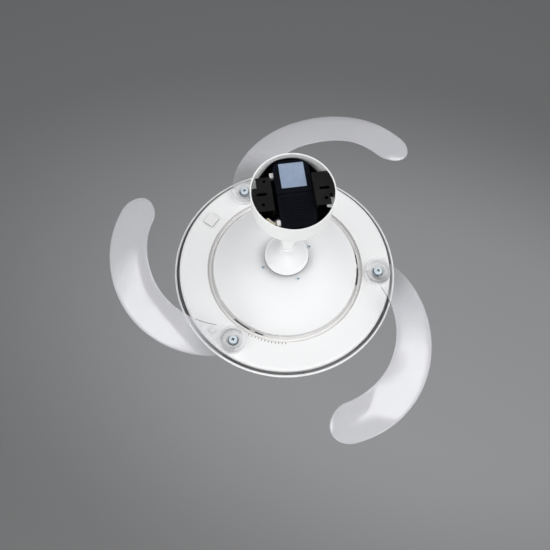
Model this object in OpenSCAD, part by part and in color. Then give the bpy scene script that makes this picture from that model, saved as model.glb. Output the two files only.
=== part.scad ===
// Retractable blade ceiling fan with a round lamp under the blade plate.
// Origin: in the ceiling plane on the fan's axis. +Z is up, X runs along the ceiling bracket.
// Heights named *_h are measured up from the top edge of the lamp housing.

/* [Overall] */
// Drop from the ceiling to the top edge of the lamp housing
rim_drop = 383; // [360:1:460]
// Turn of the blade pivots about the fan's axis, against the bracket
rotor_turn = -11.2; // [-60:0.1:60]

/* [Ceiling bracket] */
// Length of the bracket's flanges, along Y
bracket_len = 68; // [50:1:80]
// Steel thickness of the bracket
bracket_t = 2.5; // [1.5:0.1:4]
// Inside width of the bracket's channel
channel_w = 77; // [76:0.5:84]
// Distance between the two slots
slot_spacing = 116; // [104:1:126]
// Width of each slot
slot_w = 6; // [4:0.5:8]
// Length of each slot, end to end
slot_len = 20; // [12:1:28]
// Distance of the round holes from the slots, along Y
hole_offset = 21; // [15:1:26]
// Diameter of the round holes
hole_d = 7; // [4:0.5:9]

/* [Canopy] */
// Outer radius of the canopy's lip
canopy_r = 79.7; // [78:0.1:95]
// Depth of the canopy
canopy_depth = 86; // [86:1:110]
// Wall of the canopy
canopy_wall = 1.8; // [1.2:0.1:3]
// Radius of the hole that the rod comes through
canopy_hole_r = 21; // [19:0.5:24]

/* [Receiver] */
// Width of the receiver box
receiver_w = 68; // [60:1:69]
// Length of the receiver box
receiver_l = 138; // [100:1:140]
// Thickness of the receiver box
receiver_t = 23; // [18:1:26]
// Depth of the receiver's top face under the ceiling
receiver_gap = 9; // [5:0.5:9.5]
// Shift of the receiver box along X
receiver_x = 3.5; // [0:0.5:3.5]

/* [Hanger] */
// Radius of the hanger ball
ball_r = 21; // [19:0.5:23]
// Depth of the ball's centre under the ceiling
ball_drop = 62; // [60:1:66]
// Outer radius of the rod
rod_r = 13.3; // [11:0.1:14]
// Wall of the rod
rod_wall = 2.4; // [1.5:0.1:3.5]
// Running gap between the ball and its seat
ball_gap = 0.3; // [0.1:0.05:0.6]
// Radius of the cross pins
pin_r = 3; // [2:0.5:4]

/* [Coupling] */
// Outer radius of the coupling cover
cover_r = 48; // [42:0.5:50]
// Wall of the coupling cover
cover_wall = 2; // [1.5:0.1:3]
// Radius of the cover's neck
neck_r = 17; // [16:0.5:20]
// Outer radius of the shaft yoke
yoke_r = 18; // [17:0.5:20]

/* [Motor] */
// Outer radius of the hollow shaft
shaft_r = 8.5; // [7:0.5:9]
// Radius of the shaft's wire bore
shaft_bore_r = 5.5; // [4:0.5:6]
// Outer radius of the bearings
bearing_r = 20; // [18:0.5:22]
// Width of the bearings
bearing_w = 12; // [10:1:13]
// Number of balls in each bearing
bearing_balls_n = 8; // [6:1:9]
// Radius of the bearing balls
bearing_ball_r = 3.2; // [2.5:0.1:3.4]
// Outer radius of the stator
stator_r = 66; // [58:1:68]
// Height of the stator
stator_t = 20; // [16:1:22]
// Number of stator teeth
teeth = 12; // [9:3:15]
// Number of magnet poles
poles = 16; // [8:2:24]
// Air gap between the stator and the magnets
air_gap = 1; // [0.6:0.1:1.5]
// Radial thickness of the magnet ring
magnet_t = 5; // [4:0.5:6]
// Outer radius of the motor shells
shell_r = 88; // [84:1:94]
// Wall of the motor shells
shell_wall = 4; // [3:0.5:6]

/* [Dome] */
// Radius of the dome's lower edge
dome_r = 160; // [140:1:163]
// Height of the dome's flat top
dome_h = 74; // [72:0.5:78]
// Height of the dome's lower edge
dome_edge_h = 16; // [10:1:22]
// Wall of the dome
dome_wall = 2; // [1.5:0.1:3]
// Radius of the circle that the dome screws lie on
dome_screw_r = 57; // [55:0.5:60]

/* [Blade plate] */
// Radius of the plate's outer edge
plate_r = 238.8; // [234:0.2:242]
// Height of the plate's flat top
plate_h = 12; // [10:0.5:13]
// Height of the floor of the plate's inner groove
floor_h = 4; // [3:0.5:5]
// Thickness of the plate
plate_t = 2.5; // [2:0.1:4]
// Radius of the step between the groove and the flat top
step_r = 178; // [174:0.5:180]
// Depth of the plate's skirt, below the lamp housing's edge
skirt_h = 6; // [3:1:8]
// Number of vents in the row by one pivot
vents = 12; // [6:1:16]

/* [Blade pivots] */
// Distance of the pivots from the fan's axis
pivot_r = 209; // [206:0.5:209]
// Radius of the pivot pins
post_r = 6; // [5:0.5:7]
// Radial clearance of the hub on the pin
pivot_clearance = 0.05; // [0.02:0.01:0.09]
// Radius of the seat round each pivot
seat_r = 29; // [28:0.5:29.5]
// Height of the seat's top
seat_h = 20; // [18:0.5:20]
// Swing of a blade from folded to fully open, in degrees
swing = 106; // [80:1:110]
// How far the first two blades stand open at rest, in degrees
open_rest = 54; // [0:1:80]
// How far the third blade stands open at rest, in degrees
open_rest_3 = 44.5; // [0:0.5:80]

/* [Blades] */
// Radius of the blade's outer edge
blade_r = 238; // [230:1:238]
// Distance of that edge's centre from the pivot
blade_centre = 204; // [200:0.5:206]
// Radius of the blade's inner edge
inner_r = 179; // [175:1:184]
// Shift of the inner edge's centre, which widens the middle of the blade
inner_shift = 27.5; // [20:0.5:30]
// Angle that the blade spans about its own centre
blade_span = 138.7; // [128:0.1:139.5]
// Length of the rounded tip
tip_len = 44; // [35:1:60]
// Thickness of the blade
blade_t = 2.6; // [2:0.1:3]
// Rise of the blade's crown over its edges
camber = 7; // [3:0.5:7]
// Height of the blade's root over the lamp housing's edge
root_h = 38; // [36:0.5:38]
// Rise of the tip over the root, which lifts it over the next hub
tip_rise = 18.5; // [18:0.5:20]
// Pitch of the blade at its root, as a slope
root_pitch = 0.22; // [0.05:0.01:0.25]
// Pitch of the blade at its middle, as a slope
pitch = 0.34; // [0.2:0.01:0.4]
// Pitch of the blade at its tip, as a slope
tip_pitch = 0.22; // [0.1:0.01:0.23]
// Outer radius of the blade's round hub
hub_r = 30; // [28:0.5:30]
// Inner radius of the hub's cup
cup_r = 20; // [18:0.5:21]
// Height of the cup's rim
cup_h = 41; // [39:0.5:41]

/* [Lamp] */
// Outer radius of the lamp housing
lamp_r = 250; // [247:0.5:265]
// Outer radius of the lamp housing's lower edge
lamp_foot_r = 226; // [215:1:240]
// Height of the lamp housing's wall
lamp_h = 60; // [50:1:80]
// Wall of the lamp housing
lamp_wall = 2.2; // [1.6:0.1:3]
// Width of the bead round the housing's top edge
bead_w = 4.4; // [3:0.1:5]
// Depth of the lamp pan under the housing's top edge
pan_drop = 14.5; // [13:0.5:20]
// Sag of the diffuser below the housing
diffuser_sag = 20; // [10:1:40]
// Wall of the diffuser
diffuser_wall = 2.5; // [2:0.1:4]

/* [Hidden] */
$fn = 96;
eps = 0.01;
fit = 0.05;                               // radial clearance of a pressed or seated round piece
z_rim = -rim_drop;                        // top edge of the lamp housing
z_ball = -ball_drop;

// Bracket and canopy
channel_x = channel_w / 2;
flange_r = canopy_r - canopy_wall - 2;    // the flanges stay inside the canopy
canopy_corner = 42;                       // the canopy's round lower corner
canopy_side = canopy_depth - canopy_corner;
canopy_taper = 1.5;
slot_x = slot_spacing / 2;
seat_drop = 14;                           // the ball seat's height on each side of the ball's lower half
seat_ring_r = ball_r + 5;
rod_pass_r = rod_r + 3.7;                 // room for the rod to lean in the seat
tab_turn = 160;                           // where the canopy's two tabs stand
tab_z = -13;                              // top face of those tabs
tab_in = 10;                              // how far they reach in past the flanges' ends
tab_w = 21;
tab_t = 1.6;
ear_w = 16;
ear_h = 13;
canopy_screw_z = -8;
canopy_screw_r = 2;
key_w = 4;
key_depth = 3.5;
notch_x = flange_r - 10;
notch_y = 13;
z_receiver = -receiver_gap;
receiver_corner = 18;
receiver_foot_corner = 8;                 // the smaller corner beside the lower connector
shoulder_r = 20;                          // round shoulder at the free corner
split_y = 2;                              // the lower half steps down here
label_low = [-22.5, 9];                   // recess of the receiver's label
label_size = [54, 57];
web_h = ball_drop + 6;                    // depth of the bracket's webs
groove_n = 10;                            // cooling grooves across the receiver's lower half
groove_w = 2.4;
groove_pitch = 5.4;
connector = [7, 10, 9];
upper_connector_y = 39;
lower_connector_y = -60;
lower_connector_drop = 12;                // under the receiver's top face
lead_r = 1.1;
lead_pitch = 2.7;

// Coupling
yoke_bottom_h = dome_h + 4;
yoke_joint_h = yoke_bottom_h + 18;        // the rod ends here
yoke_top_h = yoke_joint_h + 20;
cover_edge_h = dome_h + 12;
cover_neck_h = yoke_top_h + 14;
cover_top_h = cover_neck_h + 15;
rod_bore_r = rod_r - rod_wall;
rod_top = z_ball + 12;
yoke_pin_h = yoke_joint_h + 10;
yoke_screw_h = yoke_bottom_h + 6;
shaft_top_h = yoke_joint_h - 8;
pin_tail = 4.5;                           // how far the coupling pin stands out for its clip
clip_at = 2.5;
clip_wire_r = 0.7;
clip_bend_r = 2.2;

// Motor
race_t = 3.6;
bearing_pitch_r = (shaft_r + bearing_r) / 2;
low_bearing_h = -7;
top_bearing_h = 52;
stator_h = 24;
magnet_in_r = stator_r + air_gap;
magnet_r = magnet_in_r + magnet_t;
shell_in_r = magnet_r + 6 + 2 * fit;
shell_split_h = 36;
shell_slope = 6;                          // height of the slope round the top shell
lug_r = shell_r + 5;                      // circle of the bolts that join the shells
shell_top_h = dome_h - dome_wall - 6;     // the bosses under the dome stand on this face
boss_r = bearing_r + 5;
hub_hole_r = boss_r + 2;
spoke_r = 24;
tooth_w = 8;
coil_gap = 10;                            // free length of each spoke beside its coil
bolt_r = 2;
bolt_pass_r = bolt_r + 0.1;
plate_screw_r = shell_r - 30;             // circle of the screws that hold the plate
dome_turn = 18.3;                         // where the first dome screw stands
dome_post_r = 5;
dome_crown_r = 62;                        // the dome is flat inside this radius
dome_hole_r = 22;
dome_lip = 1.5;
dome_steps = 14;

// Blade plate
step_wall = plate_t;
edge_round = 6;
slot_r = 164.6;                           // slits beside each pivot, outside the dome's edge
slit_w = 4.4;
ridge_r = [dome_r + 7.5, dome_r + 12.5];
ground_ribs = 12;
pad_1 = [(plate_r + step_r) / 2 - 1.4, 148.4, 26, 28, 3];   // radius, turn, width, length, thickness
pad_2 = [plate_r - 19.8, -134, 12, 14, 2];
vent_turn = -113.9;                       // first vent, against the first pivot
vent_pitch = 2.46;
slit_turns = [[-9.8, 4.5], [8.8, 15.8]];
seat_bore_r = post_r + 6;
seat_bottom_h = 3;
post_tail_r = 4;
stop_r = 23.5;
stop_pin_r = 2.8;
stop_depth = 5;
stop_end = asin((stop_pin_r + 0.2) / stop_r);
pivot_angles = [for (k = [0:2]) rotor_turn + 120 * k];
open_angles = [open_rest, open_rest, open_rest_3];

// Blade hub
hub_gap = 0.6;
hub_base_h = seat_h + hub_gap;
hub_floor_t = 3;
hub_boss_r = post_r + 4;
hub_boss_h = hub_base_h + 7.2;
ring_wall = 2.2;
screw_head_r = 4.5;
screw_flange_r = 9;
screw_flange_t = 1;
screw_head_t = 2;
pivot_shank_r = 1.95;
pivot_shank_l = 8;
spring_wire_r = 0.7;
spring_turns = 2.5;
spring_pitch = 1.9;
spring_r = post_r + 2.4;                  // the coil lies round the post in its seat
blade_steps = 30;
tip_steps = 10;
across = [-1, -0.92, -0.6, -0.2, 0.2, 0.6, 0.92, 1];
skin = [0.35, 0.9, 1, 1, 1, 1.1, 1.35, 0.6];       // thickness over the section, fuller at the outer edge
root_from = 5;                            // angles along the blade between which its law changes
pitch_to = 60;
tip_from = 90;
tip_to = 132;
rise_to = 112;
crown_to = 40;

// Lamp
ledge_w = 10;
ledge_t = 2;
lip_w = 2.6;                              // inward lip that the diffuser's flange lies on
lip_t = 2;
pan_t = 1.5;
lamp_slope = (lamp_r - lamp_foot_r) / (lamp_h - bead_w);   // the wall leans in below its bead
function wall_in(h) = lamp_r - lamp_wall - lamp_slope * max(0, -h - bead_w);
pan_top_h = -pan_drop;
pan_bottom_h = pan_top_h - pan_t;
pan_r = wall_in(pan_bottom_h) - 1;
pan_screw_r = pan_r - 4;
ledge_in_r = wall_in(pan_bottom_h) - ledge_w;
rib_from = 70;
rib_to = pan_r - 52;
board_r = pan_r - 27;
board_in_r = board_r - 85;
board_t = 1.6;
board_screw_r = board_r - 29;
chip_rows = [[board_r - 70, 24], [board_r - 43, 30], [board_r - 15, 36]];   // radius and number
chip = [4, 4, 1];
driver_x = 74;
driver_ear_y = 28;
driver_t = 22;
driver_size = [100, 46];
ear_size = [20, 12];
flange_out_r = wall_in(-lamp_h + lip_t) - 0.6;            // the diffuser's flange
diffuser_r = wall_in(-lamp_h) - lip_w - 0.6;
diffuser_steps = 16;
diffuser_rim_h = -lamp_h + lip_t + 3;
lamp_screw_r = 1.9;
small_head_r = 3.4;
clip_w = 12;
clip_t = 1;

function smooth(x, a, b) = let (t = max(0, min(1, (x - a) / (b - a)))) t * t * (3 - 2 * t);
function arc_points(c, r, a0, a1, n) =
    [for (i = [0:n]) let (a = a0 + (a1 - a0) * i / n) [c[0] + r * cos(a), c[1] + r * sin(a)]];

module ring(r_out, r_in, h) {
    difference() {
        cylinder(r = r_out, h = h);
        translate([0, 0, -eps]) cylinder(r = r_in, h = h + 2 * eps);
    }
}

module slot_hole(length, width, depth) {
    for (s = [-1, 1]) translate([s * (length - width) / 2, 0, 0]) cylinder(d = width, h = depth, $fn = 48);
    translate([-(length - width) / 2, -width / 2, 0]) cube([length - width, width, depth]);
}

// A rectangle with round corners, made of two bars and four discs
module offset_square(w, l, r) {
    square([w - 2 * r, l], center = true);
    square([w, l - 2 * r], center = true);
    for (x = [-1, 1], y = [-1, 1]) translate([x * (w / 2 - r), y * (l / 2 - r)]) circle(r, $fn = 48);
}

module at_h(h) translate([0, 0, z_rim + h]) children();
module at_pivot(k) rotate(pivot_angles[k]) translate([pivot_r, 0, z_rim]) children();

// ---------------------------------------------------------------- ceiling side

// Flange on one side, with its slot, its hole and a notch over the canopy's tab
module bracket_flange(side) mirror([side < 0 ? 1 : 0, 0, 0]) difference() {
    intersection() {
        translate([channel_x, -bracket_len / 2, -bracket_t]) cube([canopy_r, bracket_len, bracket_t]);
        translate([0, 0, -bracket_t]) cylinder(r = flange_r, h = bracket_t);
    }
    translate([notch_x, side > 0 ? -bracket_len : notch_y, -bracket_t - eps])
        cube([canopy_r, bracket_len - notch_y, bracket_t + 2 * eps]);
    translate([slot_x, 0, -bracket_t - eps]) slot_hole(slot_len, slot_w, bracket_t + 2 * eps);
    translate([slot_x, -hole_offset, -bracket_t - eps]) cylinder(d = hole_d, h = bracket_t + 2 * eps);
    // earth screw's hole, on one side only
    if (side < 0) translate([channel_x + 12, bracket_len / 2 - 8, -bracket_t - eps])
        cylinder(r = 3, h = bracket_t + 2 * eps);
}

module bracket_web() {
    difference() {
        translate([channel_x, -bracket_len / 2, -web_h])
            cube([bracket_t, bracket_len, web_h - bracket_t + eps]);
        for (s = [-1, 1]) translate([channel_x - eps, s * bracket_len / 4, -web_h * 0.62])
            rotate([0, 90, 0]) cylinder(r = 7, h = bracket_t + 2 * eps);
    }
    // two tongues bent in under the receiver
    for (y = [-bracket_len / 2 + 6, bracket_len / 2 - 16])
        translate([channel_x - 12, y, z_receiver - receiver_t - bracket_t]) cube([12 + eps, 10, bracket_t]);
}

// Ear bent down at the flange's end, that the canopy's screw goes into
module bracket_ear() difference() {
    intersection() {
        translate([0, -ear_w / 2, -ear_h]) cube([canopy_r, ear_w, ear_h]);
        translate([0, 0, -ear_h]) ring(flange_r, flange_r - bracket_t, ear_h);
    }
    translate([0, 0, canopy_screw_z]) rotate([0, 90, 0])
        cylinder(r = canopy_screw_r + fit, h = canopy_r, $fn = 48);
}

module ceiling_bracket() color("dimgray") {
    difference() {
        union() {
            for (side = [-1, 1]) bracket_flange(side);
            for (a = [0, 180]) rotate(a) {
                bracket_web();
                bracket_ear();
            }
            translate([-channel_x - bracket_t, -bracket_len / 2, -web_h - bracket_t])
                cube([channel_w + 2 * bracket_t, bracket_len, bracket_t]);
            translate([0, 0, z_ball - seat_drop]) cylinder(r = seat_ring_r, h = seat_drop);
        }
        translate([0, 0, z_ball]) sphere(ball_r + ball_gap);
        translate([0, 0, z_ball - seat_drop - eps]) cylinder(r = rod_pass_r, h = seat_drop);
    }
    // key that keeps the ball from turning in its seat
    translate([ball_r - key_depth + ball_gap, -key_w / 2, z_ball - 7])
        cube([seat_ring_r - ball_r + key_depth - ball_gap - 1, key_w, 7]);
}

function canopy_profile(o) =
    let (centre_r = canopy_r - canopy_taper - canopy_corner, corner = canopy_corner - o)
    concat([[canopy_r - o, 0], [canopy_r - canopy_taper - o, -canopy_side]],
           [for (i = [1:12]) let (a = -90 * i / 12)
               [centre_r + corner * cos(a), -canopy_side + corner * sin(a)]],
           [[canopy_hole_r, -canopy_depth + o]]);

module canopy() color("white") {
    difference() {
        rotate_extrude() polygon(concat(canopy_profile(0),
            [for (i = [len(canopy_profile(0)) - 1:-1:0]) canopy_profile(canopy_wall)[i]]));
        for (a = [0, 180]) rotate(a) translate([0, 0, canopy_screw_z]) rotate([0, 90, 0])
            cylinder(r = canopy_screw_r + fit, h = 2 * canopy_r, $fn = 48);
    }
    // rolled edge against the ceiling
    rotate_extrude() translate([canopy_r - canopy_wall / 2 - 0.6, -1.2]) circle(1.2, $fn = 24);
    // inward tabs, each with a small hole
    for (a = [tab_turn, tab_turn + 180]) rotate(a) difference() {
        intersection() {
            translate([flange_r - tab_in, -tab_w / 2, tab_z - tab_t]) cube([tab_in + 8, tab_w, tab_t]);
            translate([0, 0, tab_z - tab_t]) cylinder(r = canopy_r - canopy_wall, h = tab_t);
        }
        translate([flange_r - tab_in / 2, tab_w / 5, tab_z - tab_t - eps])
            cylinder(r = 1.3, h = tab_t + 2 * eps, $fn = 24);
    }
}

// Small machine screw: round head with a cross slot, standing on z = 0 and pointing down
module screw(r, shank_r, shank_l, head_t) {
    translate([0, 0, -shank_l]) cylinder(r = shank_r, h = shank_l + eps, $fn = 32);
    difference() {
        cylinder(r = r, h = head_t, $fn = 48);
        for (a = [0, 90]) rotate(a) translate([-r * 0.6, -r * 0.12, head_t - 0.8])
            cube([r * 1.2, r * 0.24, 1]);
    }
}

module canopy_screws() color("silver") for (a = [0, 180]) rotate(a)
    translate([canopy_r, 0, canopy_screw_z]) rotate([0, 90, 0]) screw(3.6, canopy_screw_r, 7.5, 2.2);

// Outline of the receiver: large round corners, and a smaller one at the lower left
module receiver_outline() {
    foot = 2 * receiver_corner + 4;
    offset_square(receiver_w, receiver_l, receiver_corner);
    translate([(foot - receiver_w) / 2, (foot - receiver_l) / 2])
        offset_square(foot, foot, receiver_foot_corner);
}

module receiver_box() color([0.1, 0.1, 0.12])
    translate([receiver_x, 0, z_receiver - receiver_t]) difference() {
    linear_extrude(receiver_t) receiver_outline();
    // lower half a step down, with cooling grooves
    translate([-receiver_w, -receiver_l, receiver_t - 2])
        cube([2 * receiver_w, receiver_l + split_y, 3]);
    for (i = [0:groove_n - 1])
        translate([-receiver_w * 0.4, -receiver_l * 0.42 + i * groove_pitch, receiver_t - 3])
            cube([receiver_w * 0.8, groove_w, 3]);
    // round shoulder at the free corner
    translate([receiver_w / 2 - shoulder_r, -receiver_l / 2 + shoulder_r, -eps]) difference() {
        translate([0, -shoulder_r - eps, 0])
            cube([shoulder_r + eps, shoulder_r + eps, receiver_t + 2 * eps]);
        cylinder(r = shoulder_r, h = receiver_t + 2 * eps);
    }
    // recess that holds the label
    translate([label_low[0] - receiver_x, label_low[1], receiver_t - 0.5])
        cube([label_size[0], label_size[1], 1]);
}

module wire_connectors() color("whitesmoke")
    translate([receiver_x - receiver_w / 2 - connector[0], 0, z_receiver]) {
    translate([0, upper_connector_y, -14]) wire_connector();
    translate([0, lower_connector_y, -lower_connector_drop]) wire_connector();
}

module wire_connector() difference() {
    cube(connector);
    for (y = [1.6, 5.6]) translate([-eps, y, 2.5]) cube([3, 2.8, 4]);
}

// Tube of radius r swept along points, for a lead held between the receiver and the rod
function lead_dir(p, i) = let (a = p[max(0, i - 1)], b = p[min(len(p) - 1, i + 1)], d = b - a) d / norm(d);
function lead_ring(p, i, r, n) =
    let (d = lead_dir(p, i), s = cross(d, [0.3, 0.9, 0.2]), u = s / norm(s), v = cross(d, u))
    [for (k = [0:n - 1]) p[i] + r * (cos(360 * k / n) * u + sin(360 * k / n) * v)];
function spline(p, m) = [for (i = [0:len(p) - 2], j = [0:m - 1]) bend(p, i, j / m), p[len(p) - 1]];
function bend(p, i, t) =
    let (a = p[max(0, i - 1)], b = p[i], c = p[i + 1], d = p[min(len(p) - 1, i + 2)])
    0.5 * (2 * b + (c - a) * t + (2 * a - 5 * b + 4 * c - d) * t * t + (3 * b - a - 3 * c + d) * t * t * t);

module tube(p, r, n = 8) {
    last = len(p) - 1;
    points = [for (i = [0:last], q = lead_ring(p, i, r, n)) q];
    sides = [for (i = [0:last - 1], k = [0:n - 1]) let (a = i * n + k, b = i * n + (k + 1) % n)
        each [[a, a + n, b], [b, a + n, b + n]]];
    caps = [for (k = [1:n - 2]) each [[0, k, k + 1], [last * n, last * n + k + 1, last * n + k]]];
    polyhedron(points, concat(sides, caps), convexity = 6);
}

// Points of the middle lead, each with the direction in which the other two lie beside it
lead_start = [receiver_x - receiver_w / 2 - connector[0] - 0.3, lower_connector_y + connector[1] / 2];
lead_route = [[lead_start[0], lead_start[1], -16.5, 0, 1], [lead_start[0] - 5, lead_start[1], -16, 0, 1],
              [-50, -51, -14, 0.8, 0.8], [-54.5, -44, -14, 1, 0.3], [-54, -40, -22, 1, -0.4],
              [-48, -39.5, -32, 0.6, -1], [-38, -40, -37, 0.4, -1], [-22, -30, -38, 0.6, -0.8],
              [-10, -12, -39, 0.9, -0.5], [-6, -3, -44, 0.5, -1], [-6, 0, -50, 0, -1],
              [-6, 0, -60.6, 0, -1]];
module lead(s) tube(spline([for (q = lead_route)
    [q[0] + s * lead_pitch * q[3], q[1] + s * lead_pitch * q[4], q[2]]], 4), lead_r);
module yellow_lead() color("khaki") lead(0);
module white_lead() color("white") lead(1);
module violet_lead() color("plum") lead(-1);

// The same three leads from the ball's centre down the rod and the hollow shaft to the lamp's driver
rod_lead_top = [[-6, 0, z_ball - 1.5], [-6, 0, z_rim + 107]];
rod_lead_bend = [[-6, 0, z_rim + 106], [-5.8, 0, z_rim + 101], [-4.6, 0, z_rim + 95], [-2.4, 0, z_rim + 88],
                 [-2, 0, z_rim + 83]];
rod_lead_foot = [[-2, 0, z_rim - 29], [-2, 0, z_rim - 33], [0, 0, z_rim - 38], [7, 0, z_rim - 40.5],
                 [15, 0, z_rim - 36], [20, 0, z_rim - 33], [23.7, 0, z_rim - 33]];
module rod_leads() color("khaki") for (s = [-1, 0, 1])
    tube([for (p = concat(rod_lead_top, spline(rod_lead_bend, 3), spline(rod_lead_foot, 3)))
        p + [0, lead_pitch * s, 0]], lead_r);

// ---------------------------------------------------------------- hanging rod

module hanger_ball() color([0.2, 0.2, 0.22]) translate([0, 0, z_ball]) difference() {
    sphere(ball_r);
    translate([0, 0, -ball_r]) cylinder(r = rod_r + fit, h = 2 * ball_r);
    translate([0, 0, ball_r - 4]) cylinder(r = ball_r, h = 5);
    translate([0, 0, -ball_r - 1]) cylinder(r = ball_r, h = 5);
    rotate([90, 0, 0]) cylinder(r = pin_r + fit, h = 2 * ball_r + 2, center = true);
    // key slot that stops the ball from turning
    intersection() {
        translate([0, key_w / 2 + ball_gap, 0]) rotate([90, 0, 0])
            ring(ball_r + 2, ball_r - key_depth - ball_gap, key_w + 2 * ball_gap);
        translate([0, -ball_r, -ball_r]) cube(2 * ball_r);
    }
}

module downrod() color("white") difference() {
    translate([0, 0, z_rim + yoke_joint_h]) cylinder(r = rod_r, h = rod_top - z_rim - yoke_joint_h);
    translate([0, 0, z_rim]) cylinder(r = rod_bore_r, h = rim_drop);
    translate([0, 0, z_ball]) rotate([90, 0, 0]) cylinder(r = pin_r + fit, h = 4 * rod_r, center = true);
    at_h(yoke_pin_h) rotate([90, 0, 0]) cylinder(r = pin_r + fit, h = 4 * rod_r, center = true);
}

module hanger_pin() color("silver") translate([0, 0, z_ball]) rotate([90, 0, 0])
    cylinder(r = pin_r, h = 2 * (ball_r - 3), center = true);

// Cross pin through the yoke and the rod, with a head and a hole for its clip
module coupling_pin() color("silver") at_h(yoke_pin_h) rotate([90, 0, 0]) {
    difference() {
        translate([0, 0, -yoke_r - 1]) cylinder(r = pin_r, h = 2 * yoke_r + 1 + pin_tail);
        translate([0, 0, yoke_r + clip_at]) rotate([90, 0, 0])
            cylinder(r = clip_wire_r + 0.15, h = 4 * pin_r, center = true, $fn = 24);
    }
    translate([0, 0, -yoke_r - 2]) cylinder(r = pin_r + 2, h = 2);
}

// Hairpin clip through the coupling pin's end
module pin_clip() color("silver") at_h(yoke_pin_h) translate([0, -yoke_r - clip_at, 0]) {
    translate([0, 0, -7]) cylinder(r = clip_wire_r, h = 12, $fn = 24);
    translate([clip_bend_r, 0, -7 + eps]) rotate([-90, 0, 0]) rotate_extrude(angle = 180, $fn = 48)
        translate([clip_bend_r, 0]) circle(clip_wire_r, $fn = 24);
    translate([2 * clip_bend_r, 0, -7]) cylinder(r = clip_wire_r, h = 7, $fn = 24);
}

module shaft_yoke() color("gray") at_h(0) difference() {
    translate([0, 0, yoke_bottom_h]) cylinder(r = yoke_r, h = yoke_top_h - yoke_bottom_h);
    translate([0, 0, yoke_joint_h]) cylinder(r = rod_r + fit, h = yoke_top_h);
    translate([0, 0, yoke_bottom_h - 1]) cylinder(r = shaft_r + fit, h = yoke_top_h - yoke_bottom_h);
    translate([0, 0, yoke_pin_h]) rotate([90, 0, 0])
        cylinder(r = pin_r + fit, h = 3 * yoke_r, center = true);
    for (a = [0, 120, 240]) rotate(a) translate([0, 0, yoke_screw_h]) rotate([0, 90, 0])
        cylinder(r = 2.5, h = yoke_r + 2);
}

module yoke_screws() color("silver") at_h(yoke_screw_h) for (a = [0, 120, 240]) rotate(a)
    rotate([0, 90, 0]) difference() {
        translate([0, 0, shaft_r + fit]) cylinder(r = 2.5 - fit, h = yoke_r - shaft_r - 1);
        translate([0, 0, yoke_r - 3]) cylinder(r = 1.25, h = 5, $fn = 6);
    }

function cover_profile(o) = concat(
    [[cover_r - o, cover_edge_h], [cover_r - o, cover_edge_h + 4]],
    [for (i = [1:10]) let (t = i / 10)
        [neck_r - o + (cover_r - neck_r) * (1 - smooth(t, -0.25, 1)),
         cover_edge_h + 4 + (cover_neck_h - cover_edge_h - 4) * pow(t, 1.15)]],
    [[neck_r - o, cover_top_h - o]]);

module coupling_cover() color("white") at_h(0) rotate_extrude() polygon(concat(
    cover_profile(0), [[rod_r + ball_gap, cover_top_h], [rod_r + ball_gap, cover_top_h - cover_wall]],
    [for (i = [len(cover_profile(0)) - 1:-1:0]) cover_profile(cover_wall)[i]]));

// ---------------------------------------------------------------- motor

module motor_shaft() color("silver") at_h(0) difference() {
    translate([0, 0, pan_bottom_h - 14]) cylinder(r = shaft_r, h = shaft_top_h - pan_bottom_h + 14);
    translate([0, 0, pan_bottom_h - 20]) cylinder(r = shaft_bore_r, h = 200);
    // window that lets the coil wires out of the bore
    translate([0, -3, stator_h + stator_t + 1]) cube([2 * shaft_r, 6, 5]);
}

module race(r_out, r_in) difference() {
    ring(r_out, r_in, bearing_w);
    rotate_extrude() translate([bearing_pitch_r, bearing_w / 2]) circle(bearing_ball_r + 0.15, $fn = 48);
}

module bearing_inner_races() color("lightgray") for (h = [low_bearing_h, top_bearing_h])
    at_h(h) race(shaft_r + race_t, shaft_r + fit);

module bearing_outer_races() color("lightgray") for (h = [low_bearing_h, top_bearing_h])
    at_h(h) race(bearing_r, bearing_r - race_t);

module bearing_balls() color("silver") for (h = [low_bearing_h, top_bearing_h], k = [0:bearing_balls_n - 1])
    at_h(h + bearing_w / 2) rotate(360 * k / bearing_balls_n) translate([bearing_pitch_r, 0, 0])
        sphere(bearing_ball_r, $fn = 32);

module stator_core() color([0.45, 0.47, 0.5]) at_h(stator_h) {
    difference() {
        union() {
            cylinder(r = spoke_r, h = stator_t);
            for (k = [0:teeth - 1]) rotate(360 * k / teeth) {
                translate([spoke_r - 2, -tooth_w / 2, 0]) cube([stator_r - spoke_r - 4, tooth_w, stator_t]);
                tooth_shoe();
            }
        }
        translate([0, 0, -eps]) cylinder(r = shaft_r + fit, h = stator_t + 1);
    }
}

module tooth_shoe() {
    half = 180 / teeth - 2.5;
    rotate(-half) rotate_extrude(angle = 2 * half) translate([stator_r - 7, 0]) square([7, stator_t]);
}

module stator_windings() color([0.72, 0.42, 0.2]) at_h(stator_h) for (k = [0:teeth - 1])
    rotate(360 * k / teeth) translate([spoke_r + 4, 0, -3]) difference() {
        rotate([90, 0, 90]) linear_extrude(stator_r - spoke_r - 4 - coil_gap)
            translate([0, stator_t / 2 + 3]) offset_square(tooth_w + 6, stator_t + 6, 3);
        translate([-1, -tooth_w / 2 - fit, 3 - fit]) cube([stator_r, tooth_w + 2 * fit, stator_t + 2 * fit]);
    }

module magnet_ring() color([0.3, 0.3, 0.33]) at_h(stator_h - 2) {
    difference() {
        ring(magnet_r, magnet_in_r, stator_t + 4);
        // gaps between the poles
        for (k = [0:poles - 1]) rotate(360 * k / poles) translate([magnet_in_r - 1, -0.5, -eps])
            cube([magnet_t - 0.6, 1, stator_t + 5]);
    }
}

module back_iron() color([0.5, 0.5, 0.52]) at_h(stator_h - 2)
    ring(shell_in_r - fit, magnet_r + fit, stator_t + 4);

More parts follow.
